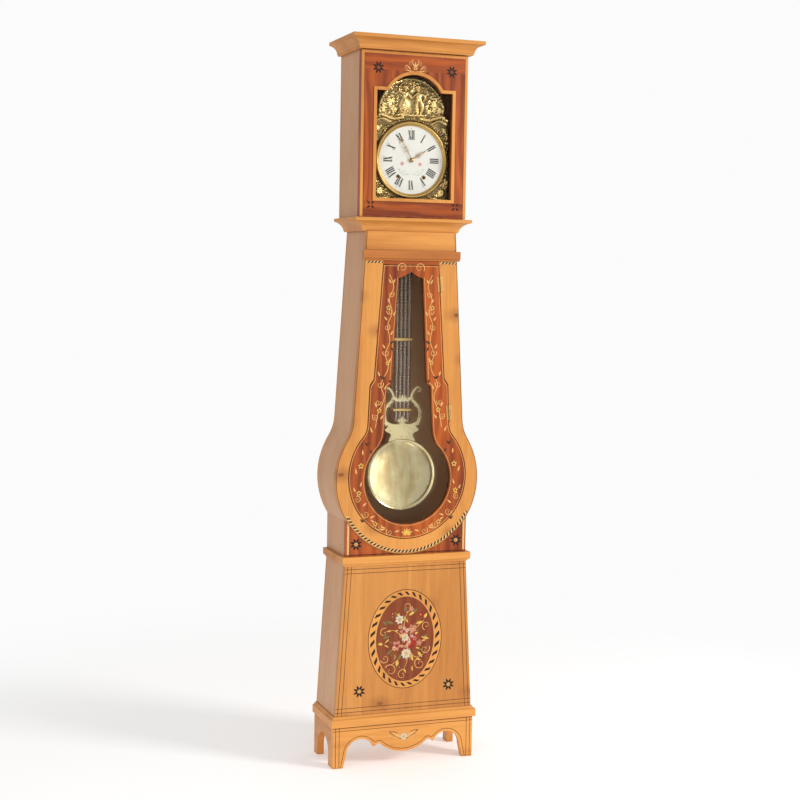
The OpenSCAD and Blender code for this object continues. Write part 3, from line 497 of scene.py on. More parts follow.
def make_materials():
    woods = bpy.context.scene.clock_woods
    metals = bpy.context.scene.clock_metals
    GROUPS["wood_grain"] = grain_group()
    GROUPS["handling_and_crease_shade"] = wear_and_crease_shade_group()
    honey = tuple(woods.honey_light), tuple(woods.honey_dark)
    red = tuple(woods.red_light), tuple(woods.red_dark)
    base = tuple(tuple(channel * fade for channel, fade in zip(tone, (0.91, 0.91, 0.94))) for tone in honey)
    PAINT["honey_front"] = wood("honey_front", *base, figure=0.22, knots=0.9, offset=(0.3, 0.1, 0.4),
                                boards=0.30)
    PAINT["honey_frame"] = wood("honey_frame", *honey, figure=0.22, knots=1.0, offset=(0.9, 0.4, 1.3),
                                inside="front", boards=0.12)
    # Painted shade: the sides get the greyer, pinker tones of the honey wood as seen in shade.
    shade = tuple(woods.side_pale_in_painted_shade), tuple(woods.side_grain_in_painted_shade)
    PAINT["honey_side_in_painted_shade"] = wood("honey_side_in_painted_shade", *shade, figure=0.35, offset=(1.7, 0.8, 0.2), inside="side")
    PAINT["honey_back"] = wood("honey_back", *honey, figure=0.50, offset=(2.2, 0.3, 0.9), inside="back")
    PAINT["honey_rail"] = wood("honey_rail", *honey, along="X", figure=0.30, offset=(0.5, 1.2, 0.6))
    PAINT["honey_apron"] = wood("honey_apron", *honey, along="X", figure=0.25, offset=(1.1, 0.2, 0.3))
    PAINT["honey_side_apron"] = wood("honey_side_apron", *honey, along="Y", figure=0.45,
                                     offset=(1.4, 0.6, 0.1))
    PAINT["red_door"] = wood("red_door", *red, figure=0.9, offset=(0.2, 0.5, 0.8), coat=0.07, inside="front")
    PAINT["red_panel"] = wood("red_panel", *red, figure=0.9, offset=(0.7, 0.1, 1.8), coat=0.07)
    PAINT["red_oval"] = wood("red_oval", (0.30, 0.075, 0.018), red[1], figure=0.7, offset=(0.1, 0.3, 0.2))
    # Painted shade: a darker, redder copy of the honey wood for the moulding over the trunk door, as that
    # wood looks in shade.
    PAINT["honey_in_painted_shade"] = wood("honey_in_painted_shade", (0.58, 0.21, 0.045), (0.34, 0.095, 0.018), along="X",
                               figure=0.3, offset=(0.2, 1.5, 0.1))
    PAINT["honey_bead"] = wood("honey_bead", *honey, figure=0.2, offset=(0.6, 1.9, 0.6))
    PAINT["red_rail"] = wood("red_rail", *red, along="X", figure=1.0, offset=(0.4, 1.1, 0.9), coat=0.07)
    PAINT["cream"] = plain("cream_inlay", tuple(woods.cream), 0.42, 0.2, speckle=300)
    PAINT["tan"] = plain("tan_inlay", (0.84, 0.46, 0.15), 0.42, 0.2, speckle=300)
    PAINT["ebony"] = plain("dark_inlay", tuple(woods.ebony), 0.42, 0.2, speckle=300)
    PAINT["walnut"] = plain("walnut_inlay", (0.10, 0.04, 0.018), 0.42, 0.2, speckle=300)
    PAINT["rose"] = plain("rose_inlay", (0.42, 0.025, 0.02), 0.42, 0.2, speckle=200)
    PAINT["pink"] = plain("pink_inlay", (0.62, 0.24, 0.17), 0.42, 0.2, speckle=200)
    PAINT["white"] = plain("white_inlay", (0.70, 0.60, 0.44), 0.42, 0.2, speckle=200)
    PAINT["leaf"] = plain("leaf_inlay", (0.22, 0.17, 0.05), 0.42, 0.2, speckle=200)
    PAINT["gold"] = plain("gold_inlay", (0.80, 0.48, 0.10), 0.42, 0.2, speckle=200)
    PAINT["brass"] = metal("polished_brass", tuple(metals.brass), 0.20, amount=0.3)
    PAINT["bob"] = bob_brass()
    PAINT["works"] = metal("works_brass", (0.62, 0.44, 0.17), 0.34, amount=0.5, grain_scale=300)
    PAINT["antique"] = metal("embossed_brass", tuple(metals.antique), 0.24, tuple(metals.tarnish), 0.4, 240,
                             MASK_LOW.y)
    PAINT["bezel"] = metal("satin_brass", (0.62, 0.42, 0.14), 0.36, amount=0.12)
    PAINT["lyre"] = metal("pale_brass", (0.80, 0.68, 0.38), 0.26, amount=0.35)
    PAINT["hinge"] = metal("dull_brass", (0.66, 0.38, 0.14), 0.48, amount=0.4, grain_scale=300)
    PAINT["gilt"] = metal("gilt_hands", (0.52, 0.31, 0.09), 0.28, amount=0.2, grain_scale=200)
    PAINT["steel"] = metal("bright_steel", (0.90, 0.84, 0.74), 0.24, amount=0.6)
    PAINT["iron"] = metal("cast_iron", (0.06, 0.06, 0.06), 0.62, amount=0.5, grain_scale=150)
    # Dark bronze for the bell; the plain pendulum rods also take it as painted shade.
    PAINT["bronze"] = metal("dark_bronze_and_rod_shade", (0.16, 0.09, 0.045), 0.42, amount=0.5, grain_scale=300)
    PAINT["enamel"] = plain("white_enamel", (0.83, 0.82, 0.76), 0.16, coat=0.6, speckle=30, contrast=0.02)
    PAINT["garland"] = plain("garland_enamel", (0.50, 0.60, 0.48), 0.3, coat=0.4)
    PAINT["flower"] = plain("flower_enamel", (0.62, 0.10, 0.10), 0.3, coat=0.4)
    PAINT["black"] = plain("black_enamel", (0.008, 0.008, 0.010), 0.4, 0.2)
    PAINT["glass"] = clear_glass()
    PAINT["hemp"] = plain("twisted_cord", (0.30, 0.21, 0.10), 0.8, speckle=900, contrast=0.3)


# ---------------------------------------------------------------- modelling helpers

def clear_selection():
    if bpy.context.object and bpy.context.object.mode != "OBJECT":
        bpy.ops.object.mode_set(mode="OBJECT")
    bpy.ops.object.select_all(action="DESELECT")


def settle(obj, name, paint, body, smooth=None):
    """Applies a piece's place, names it, paints it and lets it ride."""
    clear_selection()
    obj.select_set(True)
    bpy.context.view_layer.objects.active = obj
    bpy.ops.object.transform_apply(location=True, rotation=True, scale=True)
    if smooth is not None:
        bpy.ops.object.shade_smooth_by_angle(angle=math.radians(smooth))
    obj.name = name
    obj.data.name = name
    obj.data.materials.clear()
    obj.data.materials.append(PAINT[paint])
    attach(obj, body)
    return obj


def add_outline(points, y):
    """In edit mode, adds one flat outline of (x, z) points at depth y; its vertices stay selected."""
    bpy.ops.mesh.select_all(action="DESELECT")
    bpy.ops.mesh.primitive_circle_add(vertices=len(points), radius=1, fill_type="NGON")
    mesh = bmesh.from_edit_mesh(bpy.context.object.data)
    mesh.verts.index_update()
    chosen = sorted((v for v in mesh.verts if v.select), key=lambda v: v.index)
    for vertex, (x, z) in zip(chosen, points):
        vertex.co = (x, y, z)
    mesh.normal_update()
    bmesh.update_edit_mesh(bpy.context.object.data)


def start_outlines(outlines, y):
    """A new object in edit mode that holds these flat outlines."""
    clear_selection()
    first = outlines[0]
    bpy.ops.mesh.primitive_circle_add(vertices=len(first), radius=1, fill_type="NGON")
    obj = bpy.context.object
    obj.data.vertices.foreach_set("co", [value for x, z in first for value in (x, y, z)])
    obj.data.update()
    bpy.ops.object.mode_set(mode="EDIT")
    for layer, points in enumerate(outlines[1:], 1):
        add_outline(points, y - layer % 9 * LEAF_STEP)
    bpy.ops.mesh.select_all(action="SELECT")
    return obj


def inlay(name, outlines, y, paint, body, lift=LIFT):
    """Thin pieces of veneer let into a front face that looks towards -Y."""
    obj = start_outlines(outlines, y)
    bpy.ops.mesh.extrude_region_move(TRANSFORM_OT_translate={"value": (0, -lift, 0)})
    bpy.ops.mesh.select_all(action="SELECT")
    bpy.ops.mesh.normals_make_consistent(inside=False)
    bpy.ops.object.mode_set(mode="OBJECT")
    return settle(obj, name, paint, body)


def oval(x, z, rx, rz, count):
    return [(x + rx * math.cos(math.tau * i / count),
             z + rz * math.sin(math.tau * i / count)) for i in range(count)]


def circle(x, z, r, count=16):
    return oval(x, z, r, r, count)


def ring(x, z, rx, rz, width, count=72):
    """A band inside an oval of radii rx and rz, as slices that meet."""
    rim = oval(x, z, rx, rz, count)
    inside = oval(x, z, rx - width, rz - width, count)
    return quads_between(rim + rim[:1], inside + inside[:1])


def stroke(path, width, taper=False):
    """A line of this width along a path of (x, z) points, as slices; a tapered one thins towards its end."""
    left, right = [], []
    last = len(path) - 1
    for i, (x, z) in enumerate(path):
        before = path[max(i - 1, 0)]
        after = path[min(i + 1, last)]
        run = Vector((after[0] - before[0], after[1] - before[1])).normalized()
        share = 0.5 if not taper else 0.5 * (1 - 0.75 * i / last)
        side = Vector((-run.y, run.x)) * width * share
        left.append((x + side.x, z + side.y))
        right.append((x - side.x, z - side.y))
    return quads_between(left, right)


def scroll(x, z, size, start, turns, width, steps=14):
    """A C-scroll that curls in from its outside to a round eye."""
    path = []
    for i in range(steps + 1):
        t = i / steps
        r = size * (1 - 0.78 * t)
        a = start + turns * math.tau * t
        path.append((x + r * math.cos(a), z + r * math.sin(a)))
    return stroke(path, width, True) + [circle(*path[-1], width * 0.7, 8)]


def leaf(x, z, length, width, angle, steps=5):
    along = Vector((math.cos(angle), math.sin(angle)))
    across = Vector((-along.y, along.x))
    sides = [[], []]
    for i in range(steps + 1):
        t = i / steps
        bulge = width * 0.5 * math.sin(math.pi * t ** 0.75)
        for side, sign in ((0, 1), (1, -1)):
            p = Vector((x, z)) + along * length * t + across * bulge * sign
            sides[side].append((p.x, p.y))
    return sides[0] + sides[1][-2:0:-1]


def petals(x, z, r, count, width, start=0.0, inner=0.25):
    return [leaf(x + r * inner * math.cos(start + math.tau * i / count),
                 z + r * inner * math.sin(start + math.tau * i / count),
                 r * (1 - inner), width, start + math.tau * i / count) for i in range(count)]


def star(x, z, r, points=8, start=0.0):
    """The rays of an inlaid star, each a slim leaf that stops short of the middle."""
    return petals(x, z, r, points, r * 0.36, start, inner=0.2)


def rope(path, width, pitch):
    """Slanted blocks along a path, as in a rope border: (light pieces, dark pieces)."""
    points = [Vector(p) for p in path]
    lengths = [0.0]
    for a, b in zip(points, points[1:]):
        lengths.append(lengths[-1] + (b - a).length)
    total = lengths[-1]

    def at(distance, offset):
        distance = min(max(distance, 0.0), total)
        k = max(i for i in range(len(lengths) - 1) if lengths[i] <= distance)
        run = (points[k + 1] - points[k]).normalized()
        p = points[k] + run * (distance - lengths[k])
        return (p.x - run.y * offset, p.y + run.x * offset)

    count = max(2, round(total / pitch))
    step = total / count
    woods = ([], [])
    for i in range(count):
        for k, (u, v) in enumerate(((0.0, 0.5), (0.5, 1.0))):
            a, b = (i + u) * step, (i + v) * step
            lean = step * 0.5
            woods[k].append([at(a, -width / 2), at(b, -width / 2), at(b + lean, width / 2),
                             at(a + lean, width / 2)])
    return woods


def arc(x, z, r, first, last, count):
    return [(x + r * math.cos(first + (last - first) * i / count),
             z + r * math.sin(first + (last - first) * i / count))
            for i in range(count + 1)]


def quads_between(first, second):
    """Slices that fill the band between two paths with the same number of points."""
    return [[first[i], first[i + 1], second[i + 1], second[i]] for i in range(len(first) - 1)]


def violin_side(top, slope, z_top, r, z_round, hollow, grow):
    """The right side of a violin outline: a slope, a hollow curve, then a round end down to its foot."""
    lean = math.atan(slope)
    start = top + grow / math.cos(lean)
    round_r, curve_r = r + grow, hollow - grow
    out = start * math.cos(lean) + (z_top - z_round) * math.sin(lean) + curve_r
    up = math.sqrt((round_r + curve_r) ** 2 - out ** 2)
    fx = out * math.cos(lean) - up * math.sin(lean)
    fz = z_round + out * math.sin(lean) + up * math.cos(lean)
    meet = math.atan2(fz - z_round, fx)
    curve = arc(fx, fz, curve_r, math.pi + lean, math.pi + meet, 8)
    belly = arc(0, z_round, round_r, meet, -math.pi / 2, 40)
    return [(start, z_top)] + curve + belly[1:]


def step_side(x_top, z_top, x_low, drop, grow, steps=8):
    return [(x_top + grow + (x_low - x_top) * (1 - math.cos(math.pi * i / steps)) / 2,
             z_top + grow - drop * i / steps)
            for i in range(steps + 1)]


def door_side(grow):
    """The right edge of the trunk door, moved outwards by grow."""
    top = [(DOOR_TOP + grow, DOOR_HIGH.z + grow)]
    return (top + step_side(NOTCH_X, NOTCH_Z, NECK_X, NOTCH_DROP, grow)
            + violin_side(NECK_X, 0.043, NOTCH_Z - NOTCH_DROP - 1 * MM, DOOR_HIGH.x, DOOR_R_Z, 60 * MM,
                          grow)[1:])


def glass_side(grow):
    """The right edge of the trunk door's glass opening, moved outwards by grow."""
    neck = NECK_X - GLASS_STILE
    return ([(GLASS_TOP + grow, GLASS_Z)] + step_side(neck - 12 * MM, NOTCH_Z - 18 * MM, neck, 12 * MM, grow)
            + violin_side(neck, 0.06, NOTCH_Z - 31 * MM, GLASS_R, GLASS_R_Z, 90 * MM, grow)[1:])


def both(outlines):
    return outlines + [[(-x, z) for x, z in points] for points in outlines]


def lathe(name, profile, place, paint, body, steps):
    """Turns a profile of (radius, depth) about a line along Y through place; its ends are on that line."""
    clear_selection()
    bpy.ops.mesh.primitive_circle_add(vertices=len(profile), radius=1, fill_type="NOTHING")
    obj = bpy.context.object
    bpy.ops.object.mode_set(mode="EDIT")
    mesh = bmesh.from_edit_mesh(obj.data)
    mesh.verts.ensure_lookup_table()
    for vertex, (radius, depth) in zip(mesh.verts, profile):
        vertex.co = (place[0] + radius, depth, place[1])
    bmesh.update_edit_mesh(obj.data)
    if profile[0][0] == 0:
        bpy.ops.mesh.select_mode(type="EDGE")
        mesh = bmesh.from_edit_mesh(obj.data)
        for edge in mesh.edges:
            edge.select_set({v.index for v in edge.verts} == {0, len(profile) - 1})
        bmesh.update_edit_mesh(obj.data)
        bpy.ops.mesh.delete(type="EDGE")
        bpy.ops.mesh.select_mode(type="VERT")
    bpy.ops.mesh.select_all(action="SELECT")
    bpy.ops.mesh.spin(steps=steps, angle=math.tau, center=(place[0], 0, place[1]), axis=(0, 1, 0),
                      use_auto_merge=True)
    bpy.ops.mesh.select_all(action="SELECT")
    bpy.ops.mesh.remove_doubles(threshold=1e-6)
    bpy.ops.mesh.normals_make_consistent(inside=False)
    bpy.ops.object.mode_set(mode="OBJECT")
    return settle(obj, name, paint, body, TURNED_ANGLE)


def plate(name, outlines, y, thickness, paint, body, bevel=0.0):
    """Flat shapes sawn from sheet, with their front at y and soft edges."""
    obj = start_outlines(outlines, y)
    bpy.ops.mesh.extrude_region_move(TRANSFORM_OT_translate={"value": (0, thickness, 0)})
    bpy.ops.mesh.select_all(action="SELECT")
    bpy.ops.mesh.normals_make_consistent(inside=False)
    bpy.ops.object.mode_set(mode="OBJECT")
    if bevel:
        edge = obj.modifiers.new("soft edge", "BEVEL")
        edge.width = bevel
        edge.segments = 2
        edge.limit_method = "ANGLE"
        edge.angle_limit = math.radians(50)
        bpy.ops.object.modifier_apply(modifier=edge.name)
    return settle(obj, name, paint, body)


# ---------------------------------------------------------------- operators

WOODWORK = {
    "honey_front": ["base_front"],
    "honey_frame": ["trunk_frame"],
    "honey_side_in_painted_shade": ["base_left_side", "base_right_side", "trunk_left_side", "trunk_right_side", "box_sides",
                   "hood_left_side", "hood_right_side"],
    "honey_back": ["back_board", "hood_back"],
    "honey_rail": ["plinth_moulding", "base_rail", "frieze", "shoulder_moulding", "cornice",
                   "base_floor", "seat_board", "hood_top"],
    "honey_apron": ["front_apron"],
    "honey_side_apron": ["left_apron", "right_apron"],
    "honey_bead": ["hood_door_moulding", "medallion"],
    "honey_in_painted_shade": ["door_hood_moulding"],
    "red_door": ["trunk_door", "hood_door"],
    "red_panel": ["box_spandrels"],
    "walnut": ["trunk_door_beads", "hood_door_beads"],
    "glass": ["trunk_door_glass", "hood_door_glass"],
    "enamel": ["dial"],
    "brass": ["bezel", "bob", "lyre"],
    "works": ["front_plate", "back_plate", "pillars", "going_drum", "strike_drum", "centre_wheel",
              "escape_wheel", "minute_wheel"],
    "antique": ["embossed_front"],
    "steel": ["anchor", "pendulum_rod", "gridiron", "hammer"],
    "bronze": ["bell"],
    "hinge": ["trunk_hinges", "trunk_door_leaves", "hood_hinges", "hood_door_leaves"],
    "gilt": ["minute_hand", "hour_hand"],
    "iron": ["going_weight", "strike_weight"],
    "hemp": ["going_cord", "strike_cord"],
}


class CLOCK_OT_stage(bpy.types.Operator):
    """Camera, pale floor and soft studio light"""
    bl_idname = "clock.stage"
    bl_label = "Studio stage"

    def execute(self, context):
        camera = bpy.data.cameras.new("camera")
        camera.lens = 69.03
        camera.sensor_width = 36
        yaw, pitch, roll = math.radians(20.5), math.radians(-4.46), math.radians(0.94)
        forward = Vector((math.sin(yaw) * math.cos(pitch), math.cos(yaw) * math.cos(pitch), math.sin(pitch)))
        level = Vector((math.cos(yaw), -math.sin(yaw), 0))
        upright = level.cross(forward)
        right = level * math.cos(roll) + upright * math.sin(roll)
        up = upright * math.cos(roll) - level * math.sin(roll)
        holder = bpy.data.objects.new("camera", camera)
        turned = Matrix((right, up, -forward)).transposed().to_4x4()
        holder.matrix_world = Matrix.Translation((-1.724, -4.601, 1.55)) @ turned
        context.scene.collection.objects.link(holder)
        context.scene.camera = holder
        context.scene.view_settings.view_transform = "Standard"
        clear_selection()
        bpy.ops.mesh.primitive_plane_add(size=6, location=(0, 0, -0.0005))
        floor = context.object
        floor.name = "floor"
        material, tree, shader, coordinates = new_material("pale_floor")
        shade = noise(tree, coordinates.outputs["Object"], 0.8, 2.0, 0.5)
        tint = mix_colour(tree, ramp(tree, shade, 0.3, 0.7), (0.93, 0.93, 0.93), (0.91, 0.91, 0.91))
        link(tree, tint, shader.inputs["Base Color"])
        shader.inputs["Roughness"].default_value = 0.9
        shader.inputs["Specular IOR Level"].default_value = 0.1
        shader.inputs["Emission Color"].default_value = (1, 1, 1, 1)
        shader.inputs["Emission Strength"].default_value = 0.27
        far = tree.nodes.new("ShaderNodeVectorMath")
        far.operation = "LENGTH"
        link(tree, coordinates.outputs["Object"], far.inputs[0])
        link(tree, ramp(tree, far.outputs["Value"], 2.6, 0.9), shader.inputs["Alpha"])
        floor.data.materials.append(material)
        world = bpy.data.worlds.new("studio")
        context.scene.world = world
        world.use_nodes = True
        tree = world.node_tree
        background = tree.nodes["Background"]
        background.inputs["Color"].default_value = (1, 1, 1, 1)
        seen = tree.nodes.new("ShaderNodeLightPath")
        strength = tree.nodes.new("ShaderNodeMapRange")
        strength.inputs["To Min"].default_value = 0.58
        strength.inputs["To Max"].default_value = 0.97
        link(tree, seen.outputs["Is Camera Ray"], strength.inputs["Value"])
        link(tree, strength.outputs[0], background.inputs["Strength"])
        for name, place, target, size, power, colour in (
                ("key", (4.0, -3.6, 3.2), (0, 0, 1.1), 1.4, 180, (1.0, 0.985, 0.965)),
                ("fill", (-3.6, -3.2, 1.5), (0, 0, 1.1), 2.2, 26, (1.0, 0.88, 0.72)),
                ("front", (-0.2, -5.0, 0.2), (0, 0, 1.1), 2.4, 36, (1.0, 0.98, 0.96))):
            lamp = bpy.data.lights.new(name, "AREA")
            lamp.size = size
            lamp.energy = power
            lamp.color = colour
            light = bpy.data.objects.new(name, lamp)
            light.location = place
            light.rotation_euler = (Vector(target) - Vector(place)).to_track_quat("-Z", "Y").to_euler()
            context.scene.collection.objects.link(light)
        return {"FINISHED"}


class CLOCK_OT_finish_woodwork(bpy.types.Operator):
    """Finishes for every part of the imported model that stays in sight"""
    bl_idname = "clock.finish_woodwork"
    bl_label = "Finish woodwork and works"

    def execute(self, context):
        make_materials()
        for paint, nodes in WOODWORK.items():
            for node in nodes:
                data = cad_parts[node].data
                for index in range(len(data.materials)):
                    data.materials[index] = PAINT[paint]
        return {"FINISHED"}


class CLOCK_OT_weight_cords(bpy.types.Operator):
    """Two twisted cords from the drums to their weights"""
    bl_idname = "clock.weight_cords"
    bl_label = "Weight cords"

    def execute(self, context):
        for side in ("going", "strike"):
            low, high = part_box(side + "_cord")
            x, y = (low.x + high.x) / 2, (low.y + high.y) / 2
            strand_r = (high.x - low.x) / 4
            cord = twisted_strand(strand_r, high.z - low.z, 14, 8)
            bpy.ops.object.duplicate()
            other = context.object
            other.rotation_euler.z = math.pi
            cord.select_set(True)
            context.view_layer.objects.active = cord
            bpy.ops.object.join()
            cord.location = (x, y, low.z)
            bpy.ops.object.transform_apply(location=True, rotation=True, scale=True)
            bpy.ops.object.shade_smooth_by_angle(angle=math.radians(60))
            cord.name = side + "_cord_twisted"
            cord.data.materials.clear()
            cord.data.materials.append(PAINT["hemp"])
            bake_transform(cord)
            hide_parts(side + "_cord")
        return {"FINISHED"}


def twisted_strand(r, tall, turns, steps):
    """One strand wound about the vertical line through the origin, with this many steps to a turn."""
    clear_selection()
    bpy.ops.mesh.primitive_circle_add(vertices=8, radius=r, location=(r, 0, 0), fill_type="NGON")
    strand = bpy.context.object
    bpy.ops.object.transform_apply(location=True)
    twist = strand.modifiers.new("twist", "SCREW")
    twist.axis = "Z"
    twist.angle = math.tau * turns
    twist.screw_offset = tall
    twist.steps = twist.render_steps = steps * turns
    twist.use_merge_vertices = False
    bpy.ops.object.modifier_apply(modifier=twist.name)
    close_ends()
    return strand


def close_ends():
    """Fills the open ends of the active swept tube and points its faces outwards."""
    bpy.ops.object.mode_set(mode="EDIT")
    bpy.ops.mesh.select_all(action="SELECT")
    bpy.ops.mesh.remove_doubles(threshold=1e-7)
    bpy.ops.mesh.select_all(action="DESELECT")
    bpy.ops.mesh.select_non_manifold(extend=False)
    bpy.ops.mesh.edge_face_add()
    bpy.ops.mesh.select_all(action="SELECT")
    bpy.ops.mesh.normals_make_consistent(inside=False)
    bpy.ops.object.mode_set(mode="OBJECT")


class CLOCK_OT_base_inlay(bpy.types.Operator):
    """Incised lines and stars of the base, and the oval medallion with its bouquet"""
    bl_idname = "clock.base_inlay"
    bl_label = "Base marquetry"

    def execute(self, context):
        y = BASE_LOW.y
        bottom, top = BASE_LOW.z, BASE_HIGH.z
        foot, head = BASE_HIGH.x, 205.7 * MM
        lines = []
        for inset in (8 * MM, 21 * MM):
            lines += both([[(foot - inset, bottom), (foot - inset - LINE, bottom), (head - inset - LINE, top),
                            (head - inset, top)]])
        for z in (bottom + 11 * MM, bottom + 24 * MM, top - 11 * MM, top - 24 * MM):
            half = foot + (head - foot) * (z - bottom) / (top - bottom) - 0.5 * MM
            lines.append([(-half, z), (-half, z + LINE), (half, z + LINE), (half, z)])
        inlay("base_lines", lines, y, "walnut", "case")
        make_stars("base_stars", both_points(153 * MM, 244 * MM), 21 * MM, y)
        cx, cz = 0, (MEDAL_LOW.z + MEDAL_HIGH.z) / 2
        rx, rz = (MEDAL_HIGH.x - MEDAL_LOW.x) / 2, (MEDAL_HIGH.z - MEDAL_LOW.z) / 2
        y = MEDAL_LOW.y
        inner_x, inner_z = rx - 28.5 * MM, rz - 24.5 * MM
        inlay("medallion_outline", ring(cx, cz, rx, rz, 1.8 * MM), y, "ebony", "case")
        inlay("medallion_field", [oval(cx, cz, inner_x, inner_z, 72)], y, "red_oval", "case")
        inlay("medallion_inner_line", ring(cx, cz, inner_x + 0.8 * MM, inner_z + 0.8 * MM, 1.0 * MM), y,
              "walnut", "case", lift=0.35 * MM)
        dashes = []
        for i in range(30):
            a = math.tau * i / 30
            lean, wide = 0.10, 0.040
            near, far = 6.5 * MM, -7.5 * MM
            corners = ((inner_x + near, inner_z + near, a - wide), (inner_x + near, inner_z + near, a + wide),
                       (rx + far, rz + far, a + lean + wide), (rx + far, rz + far, a + lean - wide))
            dashes.append([(u * math.cos(t), v * math.sin(t) + cz) for u, v, t in corners])
        inlay("medallion_dashes", dashes, y, "ebony", "case")
        bouquet(cx, cz, y)
        return {"FINISHED"}


def both_points(x, z):
    return [(x, z), (-x, z)]


def make_stars(name, places, r, y, body="case", eye="tan", count=8):
    rays, eyes = [], []
    for x, z in places:
        rays += star(x, z, r, count, start=math.pi / count)
        eyes += star(x, z, r * 0.38, count, start=0)
    inlay(name + "_rays", rays, y, "ebony", body)
    inlay(name + "_eyes", eyes, y, eye, body, lift=0.35 * MM)


def bouquet(cx, cz, y):
    """Roses, daisies and small pink flowers over leaves and scrolls."""
    def at(u, v):
        return cx + u * GROW * MM, cz + v * GROW * MM

    scrolls = []
    for u, v, size, start, turns in (
            (2, 52, 9, -1.6, 0.9), (-24, -50, 11, 2.6, -1.0), (-4, -58, 9, 1.0, 1.0), (26, -42, 10, 2.2, 1.1),
            (34, -18, 9, 0.4, -0.9), (-34, -30, 8, 3.4, 1.0), (-36, 12, 8, 1.2, 0.9), (36, 20, 8, 4.4, -1.0)):
        scrolls += scroll(*at(u, v), size * GROW * MM, start, turns, 2.6 * MM)
    for path in ([(0, -8), (-6, -26), (-18, -38), (-30, -42)], [(4, -10), (14, -28), (28, -30), (38, -14)],
                 [(0, 0), (-2, 22), (2, 40), (8, 46)], [(-4, 4), (-18, 14), (-30, 16)],
                 [(8, 8), (22, 20), (33, 30)], [(2, -20), (4, -36), (-2, -50)]):
        scrolls += stroke([at(u, v) for u, v in smooth_path(path)], 2.6 * MM, True)
    inlay("bouquet_scrolls", scrolls, y, "tan", "case", lift=0.40 * MM)
    leaves = []
    for u, v, size, turn in (
            (-10, 36, 13, 2.4), (6, 38, 13, 0.5), (-20, 26, 14, 2.8), (18, 24, 14, 0.2), (-26, 6, 14, 3.4),
            (28, 2, 14, -0.3), (-22, -16, 13, 3.9), (22, -22, 13, -0.9), (-6, -24, 13, 4.2),
            (10, -26, 12, -1.2), (-32, 24, 10, 2.2), (32, 32, 10, 1.0), (0, 44, 10, 1.7),
            (-12, -34, 10, 4.4), (14, 42, 9, 0.8), (-38, -6, 9, 3.1)):
        leaves.append(leaf(*at(u, v), size * GROW * MM, 9 * MM, turn))
    dice = random.Random(5)
    for k in range(34):
        a = math.tau * k / 34 + dice.uniform(-0.1, 0.1)
        reach = dice.uniform(0.35, 0.80)
        leaves.append(leaf(*at(44 * reach * math.cos(a), 62 * reach * math.sin(a)), dice.uniform(12, 20) * MM,
                           dice.uniform(4, 7) * MM, a + dice.uniform(-0.9, 0.9)))
    inlay("bouquet_leaves", leaves[::2], y, "leaf", "case", lift=0.50 * MM)
    inlay("bouquet_gold_leaves", leaves[1::2], y, "gold", "case", lift=0.50 * MM)
    flowers = {"rose": [], "pink": [], "white": [], "gold": [], "cream": []}
    for paint, eye, u, v, r, count in (
            ("rose", "pink", 8, -6, 11, 7), ("pink", "rose", -14, -10, 9, 5), ("pink", "rose", -2, 12, 8, 5),
            ("white", "gold", 2, -24, 9, 9), ("white", "gold", -10, 32, 8, 7), ("pink", "rose", 12, 16, 8, 5),
            ("rose", "gold", 26, 38, 5, 5), ("white", "gold", 0, 2, 7, 7), ("rose", "gold", -22, 42, 4, 5),
            ("pink", "gold", 24, -8, 6, 5), ("pink", "gold", 10, 48, 5, 5), ("rose", "pink", 15, 2, 7, 6)):
        x, z = at(u, v)
        flowers[paint] += petals(x, z, r * GROW * MM, count, r * 1.2 * MM, start=u)
        flowers[eye].append(circle(x, z, r * 0.48 * MM, 10))
    for k in range(26):
        a, reach = math.tau * k / 26 * 5, dice.uniform(0.10, 0.62)
        x, z = at(34 * reach * math.cos(a), 52 * reach * math.sin(a))
        r = dice.uniform(5, 8)
        flowers[("pink", "white", "rose", "cream")[k % 4]] += petals(x, z, r * MM, 5, r * 0.6 * MM, start=a)
    for k, (paint, shapes) in enumerate(flowers.items()):
        if shapes:
            inlay("bouquet_" + paint, shapes, y, paint, "case", lift=(0.60 + 0.06 * k) * MM)


def smooth_path(points, steps=5):
    """Points along a soft curve through the given ones."""
    out = []
    for i in range(len(points) - 1):
        p0 = Vector(points[max(i - 1, 0)])
        p1, p2 = Vector(points[i]), Vector(points[i + 1])
        p3 = Vector(points[min(i + 2, len(points) - 1)])
        for k in range(steps):
            t = k / steps
            p = 0.5 * ((2 * p1) + (p2 - p0) * t + (2 * p0 - 5 * p1 + 4 * p2 - p3) * t * t
                       + (3 * p1 - p0 - 3 * p2 + p3) * t ** 3)
            out.append((p.x, p.y))
    return out + [tuple(points[-1])]


